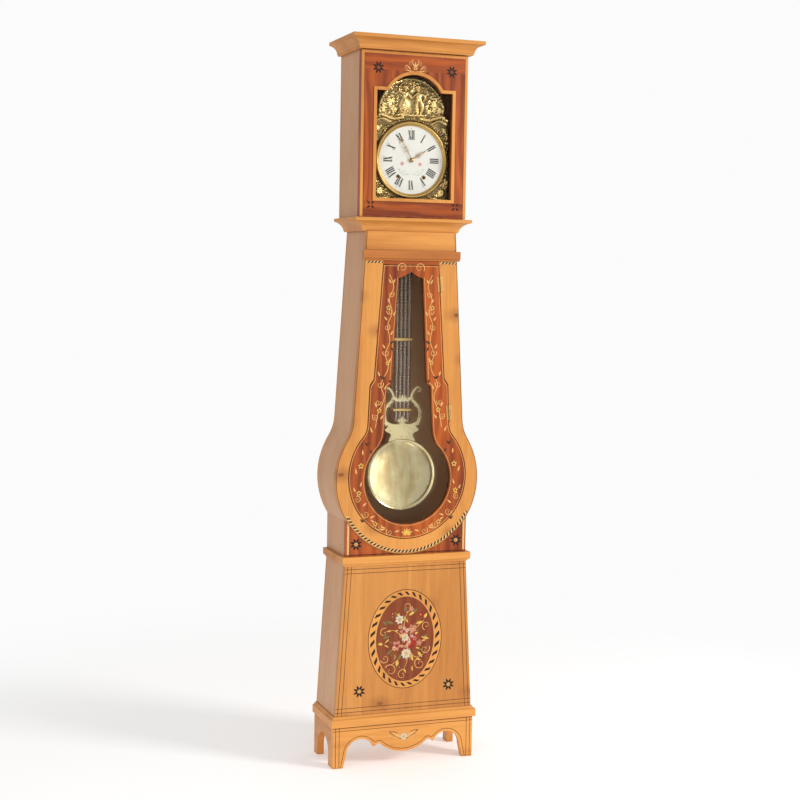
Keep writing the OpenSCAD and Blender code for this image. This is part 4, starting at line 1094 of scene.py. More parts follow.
class CLOCK_OT_case_inlay(bpy.types.Operator):
    """Rope borders, stars and strips of the lower box, the round frame and the top rail"""
    bl_idname = "clock.case_inlay"
    bl_label = "Case marquetry"

    def execute(self, context):
        y = FRAME_LOW.y
        light, dark = rope(arc(0, BELLY_Z, 230.5 * MM, math.radians(-152), math.radians(-28), 80), 9 * MM,
                           12.5 * MM)
        inlay("frame_rope_light", light, y, "cream", "case")
        inlay("frame_rope_dark", dark, y, "ebony", "case")
        edge = both(quads_between(trunk_side(-0.6 * MM), trunk_side(-2.0 * MM)))
        inlay("frame_edge_line", edge, y, "walnut", "case")
        z0, z1 = DOOR_HIGH.z + 2.5 * MM, FRAME_HIGH.z - 0.5 * MM
        inlay("top_rail", [[(-94 * MM, z0), (94 * MM, z0), (94 * MM, z1), (-94 * MM, z1)]], y, "red_rail",
              "case")
        for side in (-1, 1):
            a, b = sorted((side * 96 * MM, side * 153 * MM))
            pieces = rope([(a, (z0 + z1) / 2), (b, (z0 + z1) / 2)], 6.5 * MM, 12 * MM)
            name = "right" if side > 0 else "left"
            inlay("rail_rope_light_" + name, pieces[0], y, "cream", "case")
            inlay("rail_rope_dark_" + name, pieces[1], y, "ebony", "case")
        y = BOX_LOW.y
        z0, z1 = BOX_LOW.z, BOX_HIGH.z
        half = BOX_HIGH.x
        inlay("box_strips", both([[(half - 4 * MM, z0 + 4 * MM), (half - 11 * MM, z0 + 4 * MM),
                                   (half - 11 * MM, z1 - 1 * MM), (half - 4 * MM, z1 - 1 * MM)]]), y,
              "cream", "case")
        inlay("box_lines", both([[(half - 12 * MM, z0 + 4 * MM), (half - 13.2 * MM, z0 + 4 * MM),
                                  (half - 13.2 * MM, z1 - 1 * MM), (half - 12 * MM, z1 - 1 * MM)]])
              + [[(-half, z0 + 4 * MM), (half, z0 + 4 * MM), (half, z0 + 6 * MM), (-half, z0 + 6 * MM)]], y,
              "ebony", "case", lift=0.3 * MM)
        make_stars("box_stars", both_points(170 * MM, 717 * MM), 21 * MM, y)
        return {"FINISHED"}


def trunk_side(grow):
    return violin_side(149.5 * MM, 0.059, 1702 * MM, BELLY_R, BELLY_Z, 130 * MM, grow)


class CLOCK_OT_door_inlay(bpy.types.Operator):
    """Stringing, scrolls and flowers of the trunk door"""
    bl_idname = "clock.door_inlay"
    bl_label = "Trunk door marquetry"

    def execute(self, context):
        y = DOOR_LOW.y
        body = "trunk_door"
        outer = both(quads_between(door_side(-2.2 * MM), door_side(-3.6 * MM)))
        outer.append([(-DOOR_TOP, DOOR_HIGH.z - 3.6 * MM), (DOOR_TOP, DOOR_HIGH.z - 3.6 * MM),
                      (DOOR_TOP, DOOR_HIGH.z - 2.2 * MM), (-DOOR_TOP, DOOR_HIGH.z - 2.2 * MM)])
        inlay("door_stringing", outer, y, "tan", body)
        inner = both(quads_between(glass_side(4.5 * MM), glass_side(3.2 * MM)))
        inlay("glass_stringing", inner, y, "tan", body)
        stems, curls, leaves, dark_leaves, blooms, eyes = [], [], [], [], [], []
        # The stile: a wavy stem with curls and leaf pairs, then the round part and its bottom flower
        stem = smooth_path([(72, 1568), (58, 1530), (72, 1490), (62, 1450), (76, 1408), (68, 1360),
                            (82, 1318), (72, 1275), (96, 1222), (84, 1180), (104, 1130), (112, 1085)])
        stems += stroke([(x * MM, z * MM) for x, z in stem], 2.3 * MM)
        for x, z, size, start, turns in (
                (29, 1590, 13, -0.6, 1.3), (66, 1506, 8, 2.4, 1.1), (70, 1452, 8, 0.2, -1.2),
                (78, 1402, 8, 2.2, 1.1), (80, 1322, 9, 0.4, -1.2), (98, 1222, 9, 2.6, 1.1),
                (112, 1120, 9, 0.8, -1.3), (104, 1166, 8, 2.8, 1.2), (168, 860, 9, 1.2, 1.3),
                (140, 812, 10, 0.2, -1.2), (98, 772, 10, 2.8, 1.2), (60, 752, 9, 0.9, -1.2)):
            curls += scroll(x * MM, z * MM, 1.3 * size * MM, start, turns, 2.8 * MM)
        for x, z, length, turn in (
                (66, 1540, 15, 1.0), (62, 1540, 15, 2.2), (70, 1478, 15, 1.1), (58, 1438, 16, 2.0),
                (78, 1424, 14, 0.9), (66, 1378, 15, 2.1), (84, 1336, 14, 1.0), (70, 1292, 15, 2.0),
                (100, 1248, 16, 1.2), (84, 1206, 15, 2.1), (108, 1150, 16, 1.1), (96, 1112, 16, 2.2),
                (122, 1070, 18, 1.2), (152, 1000, 16, 1.5), (172, 940, 18, 1.3), (160, 900, 16, 1.9),
                (176, 884, 14, 1.2), (150, 838, 16, 2.4), (126, 800, 16, 2.8), (92, 760, 18, 3.0),
                (42, 752, 16, 2.9), (74, 766, 14, 0.3), (112, 786, 14, 0.6)):
            leaves.append(leaf(x * MM, z * MM, 1.15 * length * MM, 5.6 * MM, turn))
        for x, z, length, turn in ((60, 1350, 12, 0.5), (66, 1352, 12, 2.6), (64, 1340, 12, 4.2),
                                   (88, 1240, 12, 0.7), (94, 1238, 12, 2.5), (136, 1028, 12, 0.9),
                                   (142, 1030, 12, 2.4), (148, 786, 11, 0.9), (154, 788, 11, 2.6),
                                   (70, 1236, 11, 3.9), (130, 1016, 11, 4.0)):
            dark_leaves.append(leaf(x * MM, z * MM, 1.4 * length * MM, 7 * MM, turn))
        for x, z, r in ((74, 1464, 9), (74, 1290, 8), (100, 1140, 9), (158, 966, 10), (164, 880, 9),
                        (108, 780, 9)):
            blooms += petals(x * MM, z * MM, r * MM, 5, r * 0.62 * MM, start=0.3)
            eyes.append(circle(x * MM, z * MM, r * 0.22 * MM, 8))
        tulip = [leaf(0, 742 * MM, 22 * MM, 7 * MM, math.pi / 2 + turn)
                 for turn in (0, 0.5, -0.5, 1.05, -1.05)]
        tulip += [leaf(0, 742 * MM, 14 * MM, 5 * MM, math.pi / 2 + turn) for turn in (1.6, -1.6)]
        inlay("door_stems", both(stems), y, "tan", body)
        inlay("door_curls", both(curls), y, "tan", body, lift=0.33 * MM)
        inlay("door_leaves", both(leaves), y, "tan", body, lift=0.41 * MM)
        inlay("door_dark_leaves", both(dark_leaves), y, "walnut", body, lift=0.29 * MM)
        inlay("door_blooms", both(blooms) + tulip, y, "gold", body, lift=0.49 * MM)
        inlay("door_bloom_eyes", both(eyes), y, "walnut", body, lift=0.57 * MM)
        return {"FINISHED"}


class CLOCK_OT_hood_inlay(bpy.types.Operator):
    """Light edging, cross-grained rails, stars and the crest flower of the hood door"""
    bl_idname = "clock.hood_inlay"
    bl_label = "Hood door marquetry"

    def execute(self, context):
        y = HOOD_LOW.y
        body = "hood_door"
        half, z0, z1 = HOOD_HIGH.x, HOOD_LOW.z, HOOD_HIGH.z
        edge = 9 * MM
        strips = both([[(half, z0), (half - edge, z0), (half - edge, z1), (half, z1)]])
        strips.append([(-half + edge, z1 - edge), (half - edge, z1 - edge), (half - edge, z1),
                       (-half + edge, z1)])
        inlay("hood_edging", strips, y, "honey_bead", body)
        line = edge + 1.2 * MM
        lines = both([[(half - edge, z0), (half - line, z0), (half - line, z1 - edge),
                       (half - edge, z1 - edge)]])
        inlay("hood_edging_lines", lines, y, "walnut", body, lift=0.3 * MM)
        inlay("hood_rails", [
            [(-half + line, z0 + 3 * MM), (half - line, z0 + 3 * MM), (half - line, HOOD_LOW_RAIL_TOP),
             (-half + line, HOOD_LOW_RAIL_TOP)],
            [(-half + line, HOOD_HIGH_RAIL_FOOT), (half - line, HOOD_HIGH_RAIL_FOOT),
             (half - line, z1 - edge), (-half + line, z1 - edge)]],
              y, "red_rail", body, lift=0.15 * MM)
        make_stars("hood_stars", both_points(*HOOD_STAR), 20 * MM, y, body, "red_panel")
        make_stars("hood_corner_stars", both_points(*HOOD_CORNER_STAR), 17 * MM, y, body, "red_panel", 4)
        crest = [leaf(0, 2210 * MM, 20 * MM, 5 * MM, math.pi / 2 + turn) for turn in (0, 0.62, -0.62)]
        crest += both([leaf(10 * MM, 2196 * MM, 24 * MM, 4 * MM, 0.30),
                       leaf(16 * MM, 2203 * MM, 18 * MM, 4 * MM, 0.85)])
        inlay("hood_crest_leaves", crest, y, "tan", body, lift=0.4 * MM)
        curls = (scroll(16 * MM, 2221 * MM, 8 * MM, 3.6, -1.3, 1.7 * MM)
                 + scroll(29 * MM, 2210 * MM, 7 * MM, 2.2, -1.3, 1.7 * MM))
        curls += stroke(smooth_path([(3 * MM, 2198 * MM), (18 * MM, 2200 * MM), (32 * MM, 2199 * MM),
                                     (42 * MM, 2206 * MM)]), 1.8 * MM, True)
        curls += scroll(9 * MM, 2232 * MM, 5 * MM, 4.2, 1.2, 1.5 * MM)
        inlay("hood_crest_curls", both(curls), y, "tan", body, lift=0.45 * MM)
        inlay("hood_crest_flower", petals(0, 2209 * MM, 8 * MM, 6, 4.4 * MM), y, "cream", body,
              lift=0.55 * MM)
        return {"FINISHED"}


class CLOCK_OT_bob(bpy.types.Operator):
    """The polished bob, turned with a rolled rim and a swelling face"""
    bl_idname = "clock.bob"
    bl_label = "Pendulum bob"

    def execute(self, context):
        front, back = BOB_LOW.y, BOB_HIGH.y
        middle = (front + back) / 2
        deep = (back - front) / 2
        r = BOB_R
        face = [(r * math.sin(t),
                 middle - 3 * MM - (deep - 3 * MM) * (math.cos(t) - math.cos(1.2)) / (1 - math.cos(1.2)))
                for t in [1.2 * i / 12 for i in range(13)]]
        face = [(x * (r - 7 * MM) / (r * math.sin(1.2)), depth) for x, depth in face]
        rim = [(r - 6 * MM, middle - 3.4 * MM), (r - 4.5 * MM, middle - 4.4 * MM),
               (r - 2.5 * MM, middle - 4.6 * MM), (r - 0.8 * MM, middle - 3.4 * MM),
               (r, middle - 1.5 * MM), (r, middle + 1.5 * MM), (r - 2 * MM, middle + 3.5 * MM)]
        rear = [((r - 8 * MM) * (1 - i / 6),
                 middle + 3.5 * MM + (deep - 3.5 * MM) * math.sin(math.pi / 2 * i / 6))
                for i in range(7)]
        bob = lathe("polished_bob", face + rim + rear, (0, BOB_Z), "bob", "pendulum", 128)
        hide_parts("bob")
        return {"FINISHED"}


class CLOCK_OT_apron_inlay(bpy.types.Operator):
    """Incised lines that follow the cut edge of the apron, and its small winged flower"""
    bl_idname = "clock.apron_inlay"
    bl_label = "Apron marquetry"

    def execute(self, context):
        y = APRON_LOW.y
        half, top = APRON_HIGH.x, APRON_HIGH.z
        foot = half - 34 * MM
        mid, arch_r, drop_r, drop_z = 41 * MM, 49 * MM, 118 * MM, top + 22 * MM
        away = 9 * MM
        centre = foot - 10 * MM - arch_r
        path = [(foot + away - 1 * MM, 3 * MM), (foot + away - 8 * MM, mid - 6 * MM)]
        path += arc(centre, mid, arch_r + away, math.radians(4), math.radians(138), 22)
        path += [(97 * MM, 75 * MM), (87 * MM, 80 * MM)]
        start = math.acos(76 * MM / (drop_r - away))
        path += arc(0, drop_z, drop_r - away, -start, -math.pi / 2, 16)
        lines = both(stroke(path, LINE))
        for z in (top - 5 * MM, top - 15 * MM):
            lines.append([(-half + 1 * MM, z), (half - 1 * MM, z), (half - 1 * MM, z + LINE),
                          (-half + 1 * MM, z + LINE)])
        for inset in (8 * MM, 20 * MM):
            lines += both([[(half - inset, 2 * MM), (half - inset, top), (half - inset - LINE, top),
                            (half - inset - LINE, 2 * MM)]])
        inlay("apron_lines", lines, y, "walnut", "case")
        wings = both([leaf(6 * MM, 84 * MM, 42 * MM, 8 * MM, 0.42),
                      leaf(6 * MM, 82 * MM, 34 * MM, 7 * MM, 0.12)])
        inlay("apron_wings", wings, y, "tan", "case", lift=0.3 * MM)
        rims = both(stroke(smooth_path([(4 * MM, 78 * MM), (22 * MM, 84 * MM), (38 * MM, 94 * MM),
                                        (50 * MM, 104 * MM)]), LINE)
                    + stroke(smooth_path([(48 * MM, 104 * MM), (34 * MM, 103 * MM), (22 * MM, 100 * MM)]),
                             LINE))
        inlay("apron_wing_lines", rims, y, "walnut", "case", lift=0.4 * MM)
        inlay("apron_flower", petals(0, 86 * MM, 13 * MM, 7, 8 * MM, start=math.pi / 2), y, "white", "case",
              lift=0.5 * MM)
        inlay("apron_flower_eye", [circle(0, 86 * MM, 3 * MM, 10)], y, "gold", "case", lift=0.6 * MM)
        return {"FINISHED"}


class CLOCK_OT_embossed_front(bpy.types.Operator):
    """Pressed brass front: two dancers between flower bushes, a gadrooned rim and corner roses"""
    bl_idname = "clock.embossed_front"
    bl_label = "Embossed brass front"

    def execute(self, context):
        across, tall = 150, 228
        clear_selection()
        bpy.ops.mesh.primitive_grid_add(x_subdivisions=across, y_subdivisions=tall, size=1)
        front = context.object
        mesh = front.data
        co = np.empty(len(mesh.vertices) * 3)
        mesh.vertices.foreach_get("co", co)
        co = co.reshape(-1, 3)
        x = co[:, 0] * (MASK_HIGH.x - MASK_LOW.x)
        z = (MASK_LOW.z + MASK_HIGH.z) / 2 + co[:, 1] * (MASK_HIGH.z - MASK_LOW.z)
        height = RELIEF_GAIN * relief_height(x / MM, (z - DIAL_Z) / MM)
        mesh.vertices.foreach_set("co", np.stack([x, MASK_LOW.y - height * MM, z], 1).ravel())
        dome_z, dome_r = DIAL_Z + 145 * MM, 111.5 * MM
        outside = (z > dome_z) & (np.hypot(x, z - dome_z) > dome_r)
        outside |= (z > dome_z - 12 * MM) & (np.abs(x) > dome_r)
        outside |= np.hypot(x, z - DIAL_Z) < 100 * MM
        mesh.vertices.foreach_set("select", outside)
        mesh.edges.foreach_set("select", np.zeros(len(mesh.edges), bool))
        mesh.polygons.foreach_set("select", np.zeros(len(mesh.polygons), bool))
        mesh.update()
        bpy.ops.object.mode_set(mode="EDIT")
        bpy.ops.mesh.delete(type="VERT")
        bpy.ops.object.mode_set(mode="OBJECT")
        sheet = front.modifiers.new("sheet", "SOLIDIFY")
        sheet.thickness = 1.2 * MM
        sheet.offset = -1
        bpy.ops.object.modifier_apply(modifier=sheet.name)
        settle(front, "pressed_brass_front", "antique", "case", 70)
        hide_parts("embossed_front")
        posts = []
        for px, pz in ((DIAL_R, 112 * MM), (DIAL_R, -108 * MM)):
            posts += both([circle(px + 4 * MM, DIAL_Z + pz, 3 * MM, 12)])
        plate("front_posts", posts, MASK_LOW.y + 1 * MM, MASK_HIGH.y - MASK_LOW.y - 1 * MM, "works", "case",
              0.5 * MM)
        return {"FINISHED"}


def relief_height(x, z):
    """Height in millimetres of the pressed relief over points measured from the middle of the dial."""
    field = 0.35 * (np.sin(x * 0.9) * np.sin(z * 0.8 + x * 0.3) + 1)

    def boss(cx, cz, rx, rz, rise, turn=0.0):
        u = (x - cx) * math.cos(turn) + (z - cz) * math.sin(turn)
        v = (z - cz) * math.cos(turn) - (x - cx) * math.sin(turn)
        np.maximum(field, rise * np.sqrt(np.clip(1 - (u / rx) ** 2 - (v / rz) ** 2, 0, 1)), out=field)

    def ridge(path, r, rise):
        for (ax, az), (bx, bz) in zip(path, path[1:]):
            length = max((bx - ax) ** 2 + (bz - az) ** 2, 1e-6)
            t = np.clip(((x - ax) * (bx - ax) + (z - az) * (bz - az)) / length, 0, 1)
            far = np.hypot(x - ax - t * (bx - ax), z - az - t * (bz - az))
            np.maximum(field, rise * np.sqrt(np.clip(1 - (far / r) ** 2, 0, 1)), out=field)

    def rose(cx, cz, r, count, rise):
        for i in range(count):
            a = math.tau * i / count
            boss(cx + r * 0.55 * math.cos(a), cz + r * 0.55 * math.sin(a), r * 0.48, r * 0.27, rise * 0.8, a)
        boss(cx, cz, r * 0.28, r * 0.28, rise)

    def spray(cx, cz, r, count, start, rise):
        for i in range(count):
            a = start + math.tau * i / count
            boss(cx + r * 0.6 * math.cos(a), cz + r * 0.6 * math.sin(a), r * 0.42, r * 0.13, rise, a)

    dice = random.Random(11)
    for i in range(190):
        cx, cz = dice.uniform(-108, 108), dice.uniform(134, 250)
        quiet = 0.35 if abs(cx) < 48 and cz < 235 else 1.0
        boss(cx, cz, dice.uniform(3.5, 6.5), dice.uniform(1.4, 2.4), quiet * dice.uniform(1.6, 3.0),
             dice.uniform(0, math.pi))
    for side in (-1, 1):
        for i in range(46):
            cx = side * dice.uniform(48, 108)
            cz = dice.uniform(140, 214 - 0.9 * max(0, abs(cx) - 60))
            boss(cx, cz, dice.uniform(4, 7), dice.uniform(1.8, 2.8), dice.uniform(2.2, 3.8),
                 dice.uniform(0, math.pi))
        rose(side * 74, 178, 13, 7, 5.6)
        rose(side * 94, 160, 11, 6, 5.2)
        rose(side * 58, 154, 10, 6, 5.0)
        spray(side * 88, 190, 13, 6, 0.3, 3.6)
        ridge(smooth_path([(side * 122, 128), (side * 104, 139), (side * 84, 134), (side * 60, 127),
                           (side * 30, 131)]), 5, 5.4)
        ridge(smooth_path([(side * 120, 116), (side * 96, 126), (side * 70, 116)]), 2.6, 3.8)
        for i in range(9):
            boss(side * (116 - 9 * i), 137 - 2.2 * abs(i - 3), 5.5, 2.1, 4.4, side * (0.8 + 0.25 * i))
        for i in range(70):
            a = dice.uniform(-0.95, 0.85)
            r = dice.uniform(122, 150)
            boss(side * r * math.cos(a), r * math.sin(a), 5.5, 2.1, dice.uniform(2.4, 4.0),
                 dice.uniform(0, math.pi))
        rose(side * 103, -99, 14, 8, 5.4)
        rose(side * 112, 96, 10, 6, 4.6)
        spray(side * 84, -112, 12, 7, 0.2, 3.8)
        spray(side * 116, -74, 12, 7, 0.5, 3.8)
        ridge(smooth_path([(side * 121, -118), (side * 90, -120), (side * 62, -117), (side * 46, -119)]),
              2.4, 3.6)
    for i in range(27):
        a = math.radians(42 + 96 * i / 26)
        boss(126 * math.cos(a), 126 * math.sin(a), 4.6, 1.7, 4.0, a)
    for i in range(60):
        a = math.radians(-6 + 192 * i / 59)
        boss(107 * math.cos(a), 145 + 107 * math.sin(a), 2.4, 2.4, 2.6)
    # The dancers: skirt and coat with folds, raised arms, heads with plain calm shapes
    boss(-24, 164, 19, 30, 4.2)
    for i in range(9):
        ridge([(-24, 190), (-44 + 5 * i, 142 + 0.25 * (i - 4) ** 2)], 2.2, 6.0)
    boss(-22, 201, 9, 14, 6.2)
    boss(-20, 222, 6.4, 8.0, 7.0)
    boss(-21, 227, 7.4, 5.6, 6.4)
    ridge(smooth_path([(-29, 208), (-42, 214), (-40, 230), (-30, 238)]), 3.0, 5.6)
    ridge(smooth_path([(-14, 207), (-6, 199), (1, 193)]), 3.0, 5.8)
    boss(24, 197, 9.5, 16, 6.0)
    boss(20, 222, 6.2, 7.8, 7.0)
    boss(20, 228, 8.4, 3.6, 6.4)
    ridge(smooth_path([(16, 208), (8, 200), (1, 193)]), 3.0, 5.8)
    ridge(smooth_path([(32, 206), (44, 200), (40, 186)]), 3.2, 5.6)
    ridge(smooth_path([(20, 186), (15, 166), (20, 146)]), 4.6, 6.0)
    ridge(smooth_path([(28, 186), (36, 168), (30, 146)]), 4.6, 5.6)
    for side in (-1, 1):
        ridge([(24 + side * 5, 190), (24 + side * 11, 172)], 3.4, 5.4)
        spray(side * 44, 222, 13, 6, 0.4, 3.0)
    spray(0, 236, 13, 9, 0.2, 3.6)
    rose(0, 214, 8, 6, 3.6)
    for i in range(14):
        boss(-46 + 7 * i, 139 + 2 * (i % 2), 5, 3, 4.0)
    return field


NUMERALS = ["XII", "I", "II", "III", "IIII", "V", "VI", "VII", "VIII", "IX", "X", "XI"]


def glyph(letter, tall):
    """The strokes of a Roman letter, centred, with its foot at zero: (outlines, width)."""
    thick, thin, serif = tall * 0.130, tall * 0.042, tall * 0.026

    def slanted(x0, x1, wide):
        return [(x0 - wide / 2, 0), (x0 + wide / 2, 0), (x1 + wide / 2, tall), (x1 - wide / 2, tall)]

    def foot(x, z, half):
        return [(x - half, z), (x + half, z), (x + half, z + serif), (x - half, z + serif)]

    arm = tall * 0.125
    if letter == "I":
        return [slanted(0, 0, thick), foot(0, 0, thick * 0.8),
                foot(0, tall - serif, thick * 0.8)], tall * 0.20
    if letter == "V":
        return [slanted(0, -arm, thick), slanted(0, arm, thin), foot(-arm, tall - serif, thick),
                foot(arm, tall - serif, thick * 0.8)], tall * 0.34
    return [slanted(arm, -arm, thick), slanted(-arm, arm, thin), foot(-arm, tall - serif, thick),
            foot(arm, tall - serif, thick * 0.8), foot(-arm, 0, thick * 0.8),
            foot(arm, 0, thick)], tall * 0.36


def turned(points, angle, x=0.0, z=0.0):
    """Points given as (across, outwards) for a pointer at this clockwise angle from twelve."""
    return [(x + b * math.sin(angle) + a * math.cos(angle), z + b * math.cos(angle) - a * math.sin(angle))
            for a, b in points]


class CLOCK_OT_dial(bpy.types.Operator):
    """Hour numerals, minute dots, painted flowers and brass winding eyes of the enamel dial"""
    bl_idname = "clock.dial"
    bl_label = "Dial painting"

    def execute(self, context):
        words = context.scene.clock_dial
        tall = words.numeral_height
        shapes = []
        for hour, text in enumerate(NUMERALS):
            letters = [glyph(letter, tall) for letter in text]
            at = -sum(width for _, width in letters) / 2
            for outlines, width in letters:
                for points in outlines:
                    moved = [(a + at + width / 2, b + words.ring_radius - tall / 2) for a, b in points]
                    shapes.append(turned(moved, math.tau * hour / 12, 0, DIAL_Z))
                at += width
        inlay("dial_numerals", shapes, DIAL_Y, "black", "case", lift=0.12 * MM)
        dots = []
        for minute in range(60):
            a = math.tau * minute / 60
            size = 1.2 * MM if minute % 5 == 0 else 0.6 * MM
            dots.append(circle(99 * MM * math.sin(a), DIAL_Z + 99 * MM * math.cos(a), size, 8))
        inlay("dial_minute_dots", dots, DIAL_Y, "black", "case", lift=0.12 * MM)
        blooms, vines, leaves = [], [], []
        for side in (-1, 1):
            blooms += petals(side * 30 * MM, DIAL_Z - 12 * MM, 6.5 * MM, 5, 4.6 * MM)
            vine = smooth_path([(side * 2, -40), (side * 18, -46), (side * 34, -40), (side * 42, -28)])
            vines += stroke([(u * MM, DIAL_Z + v * MM) for u, v in vine], 0.9 * MM)
            for u, v, turn in ((8, -43, -0.6), (14, -45, 0.7), (22, -46, -0.4), (28, -43, 1.2),
                               (34, -40, 0.1), (38, -34, 1.6), (40, -30, 0.5), (18, -38, 1.2),
                               (26, -36, 1.9)):
                leaves.append(leaf(side * u * MM, DIAL_Z + v * MM, 6 * MM, 2.6 * MM,
                                   turn if side > 0 else math.pi - turn))
        inlay("dial_blooms", blooms, DIAL_Y, "flower", "case", lift=0.12 * MM)
        inlay("dial_garland", vines, DIAL_Y, "garland", "case", lift=0.10 * MM)
        inlay("dial_leaves", leaves, DIAL_Y, "garland", "case", lift=0.13 * MM)
        # Painted shade: black discs stand for the shade inside the winding holes, which the dial plate
        # doesn't have.
        hole_shade_discs = both([circle(WINDING_X, DIAL_Z - WINDING_DROP, 5.4 * MM, 24)])
        inlay("winding_hole_shade", hole_shade_discs, DIAL_Y, "black", "case", lift=0.2 * MM)
        for side in (-1, 1):
            eye = [(5.2 * MM, DIAL_Y + 0.5 * MM), (5.2 * MM, DIAL_Y - 0.9 * MM),
                   (6.0 * MM, DIAL_Y - 1.2 * MM), (6.8 * MM, DIAL_Y - 0.7 * MM),
                   (6.8 * MM, DIAL_Y + 0.5 * MM)]
            lathe("winding_eye_" + ("right" if side > 0 else "left"), eye,
                  (side * WINDING_X, DIAL_Z - WINDING_DROP), "brass", "case", 32)
        return {"FINISHED"}


class CLOCK_OT_bezel(bpy.types.Operator):
    """Turned brass bezel with a rolled outer rim and a stepped inner rim"""
    bl_idname = "clock.bezel"
    bl_label = "Bezel"

    def execute(self, context):
        low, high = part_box("bezel")
        outer, front, back = (high.x - low.x) / 2, low.y, high.y
        inner = DIAL_R - 4 * MM
        profile = [(outer, back), (outer, front + 5 * MM)]
        profile += [(outer - 5 * MM + 5 * MM * math.cos(t), front + 5 * MM - 5 * MM * math.sin(t))
                    for t in (0.4, 0.8, 1.2, 1.57, 1.95, 2.3)]
        profile += [(outer - 9.5 * MM, front + 3 * MM), (outer - 10.5 * MM, front + 2.2 * MM),
                    (inner + 2.5 * MM, front + 2.4 * MM), (inner + 1 * MM, front + 3.2 * MM),
                    (inner, front + 5.4 * MM), (inner, DIAL_Y - 0.1 * MM),
                    (DIAL_R, DIAL_Y - 0.1 * MM), (DIAL_R, back)]
        bezel = lathe("turned_bezel", profile, (0, DIAL_Z), "bezel", "case", 128)
        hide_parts("bezel")
        return {"FINISHED"}


class CLOCK_OT_hands(bpy.types.Operator):
    """Pierced gilt hands on their pipes"""
    bl_idname = "clock.hands"
    bl_label = "Hands"

    def execute(self, context):
        words = context.scene.clock_dial
        for name, angle, reach in (("minute_hand", words.minute, 87 * MM),
                                   ("hour_hand", words.hour, 62 * MM)):
            low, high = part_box(name)
            y = low.y
            k = reach / 87
            wide = 0.8 if name == "minute_hand" else 1.1
            parts = []
            for path, width in (
                    ([(0, 4), (0, 26)], 2.6), ([(0, 24), (4.6, 31), (4.2, 37), (0, 43)], 1.5),
                    ([(0, 24), (-4.6, 31), (-4.2, 37), (0, 43)], 1.5), ([(0, 40), (0, 52)], 2.2),
                    ([(0, 50), (3.4, 54), (3.0, 59), (0, 63)], 1.4),
                    ([(0, 50), (-3.4, 54), (-3.0, 59), (0, 63)], 1.4)):
                curve = [(a * wide * MM, b * k) for a, b in smooth_path(path)]
                parts += stroke(curve, 0.8 * width * MM)
            parts.append([(-1.4 * MM, 61 * k), (1.4 * MM, 61 * k), (1.8 * MM, 68 * k), (0, 87 * k),
                          (-1.8 * MM, 68 * k)])
            for side in (-1, 1):
                parts += scroll(side * 5.0 * wide * MM, 45 * k, 3.0 * MM, math.pi / 2 * (1 + side),
                                side * 0.9, 1.3 * MM, 8)
            parts += petals(0, 33 * k, 3.6 * MM, 4, 2.4 * MM, start=math.pi / 4)
            shapes = [turned(points, angle, 0, DIAL_Z) for points in parts]
            hand = plate("gilt_" + name, shapes, y, 1.0 * MM, "gilt", name, 0.18 * MM)
            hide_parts(name)
            inner, outer = (0, 5.2 * MM) if name == "minute_hand" else (3.4 * MM, 7.4 * MM)
            back = high.y
            pipe = [(inner, y - 0.8 * MM), (outer * 0.75, y - 0.8 * MM), (outer, y), (outer, y + 1.2 * MM),
                    (outer * 0.62, y + 1.6 * MM), (outer * 0.62, back), (inner, back)]
            if inner:
                pipe = [(inner, y + 0.2 * MM)] + pipe[3:]
                pipe.insert(1, (outer, y + 0.2 * MM))
            lathe("pipe_" + name, pipe, (0, DIAL_Z), "gilt", name, 32)
        return {"FINISHED"}


class CLOCK_OT_lyre(bpy.types.Operator):
    """Sawn brass lyre over the bob, with its fleur, curled horns and wavy crosspiece"""
    bl_idname = "clock.lyre"
    bl_label = "Pendulum lyre"

    def execute(self, context):
        low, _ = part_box("lyre")
        foot, y = low.z, low.y

        def up(points):
            return [(x * MM, foot + z * MM) for x, z in points]

        rise = 1.12
        neck = smooth_path([(46, -2), (42, 6), (37, 15), (42, 22), (54, 27), (57, 33), (49, 39), (50, 48),
                            (55, 58), (44, 52), (26, 47), (10, 49), (0, 50)], 4)
        half = up([(x, z * rise) for x, z in neck])
        parts = [half + [(-x, z) for x, z in half[-2::-1]]]
        horn = smooth_path([(50, 50), (58, 66), (61, 86), (56, 106), (44, 120), (33, 132), (31, 144),
                            (37, 158), (46, 168), (56, 171), (61, 164), (58, 157), (52, 158)], 5)
        arms = stroke(up(horn), 12 * MM, True)
        bar = smooth_path([(0, 128), (9, 133), (18, 130), (26, 136), (36, 131)], 5)
        arms += stroke(up(bar), 10 * MM)
        fleur = [leaf(0, foot + 54 * MM, 26 * MM, 11 * MM, math.pi / 2)]
        fleur += (scroll(9 * MM, foot + 66 * MM, 6 * MM, -1.9, 0.9, 4 * MM)
                  + stroke(up([(2, 52), (5, 58), (8, 61)]), 4 * MM))
        crown = [leaf(0, foot + 130 * MM, 20 * MM, 8 * MM, math.pi / 2)]
        crown += scroll(8 * MM, foot + 141 * MM, 5 * MM, -1.9, 0.9, 3 * MM)
        drop = scroll(46 * MM, foot + 112 * MM, 6 * MM, 0.6, 0.9, 3.4 * MM)
        shapes = parts + both(arms + fleur + crown + drop)
        lyre = plate("sawn_lyre", shapes, y, 3.4 * MM, "lyre", "pendulum")
        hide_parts("lyre")
        plate("lyre_rivets", both([circle(40 * MM, foot + 33 * MM, 2.4 * MM, 14),
                                   circle(30 * MM, foot + 131 * MM, 2 * MM, 14)])
              + [circle(0, foot + 12 * MM, 3 * MM, 16)], y - 0.9 * MM, 5 * MM, "works", "pendulum",
              0.5 * MM)
        return {"FINISHED"}


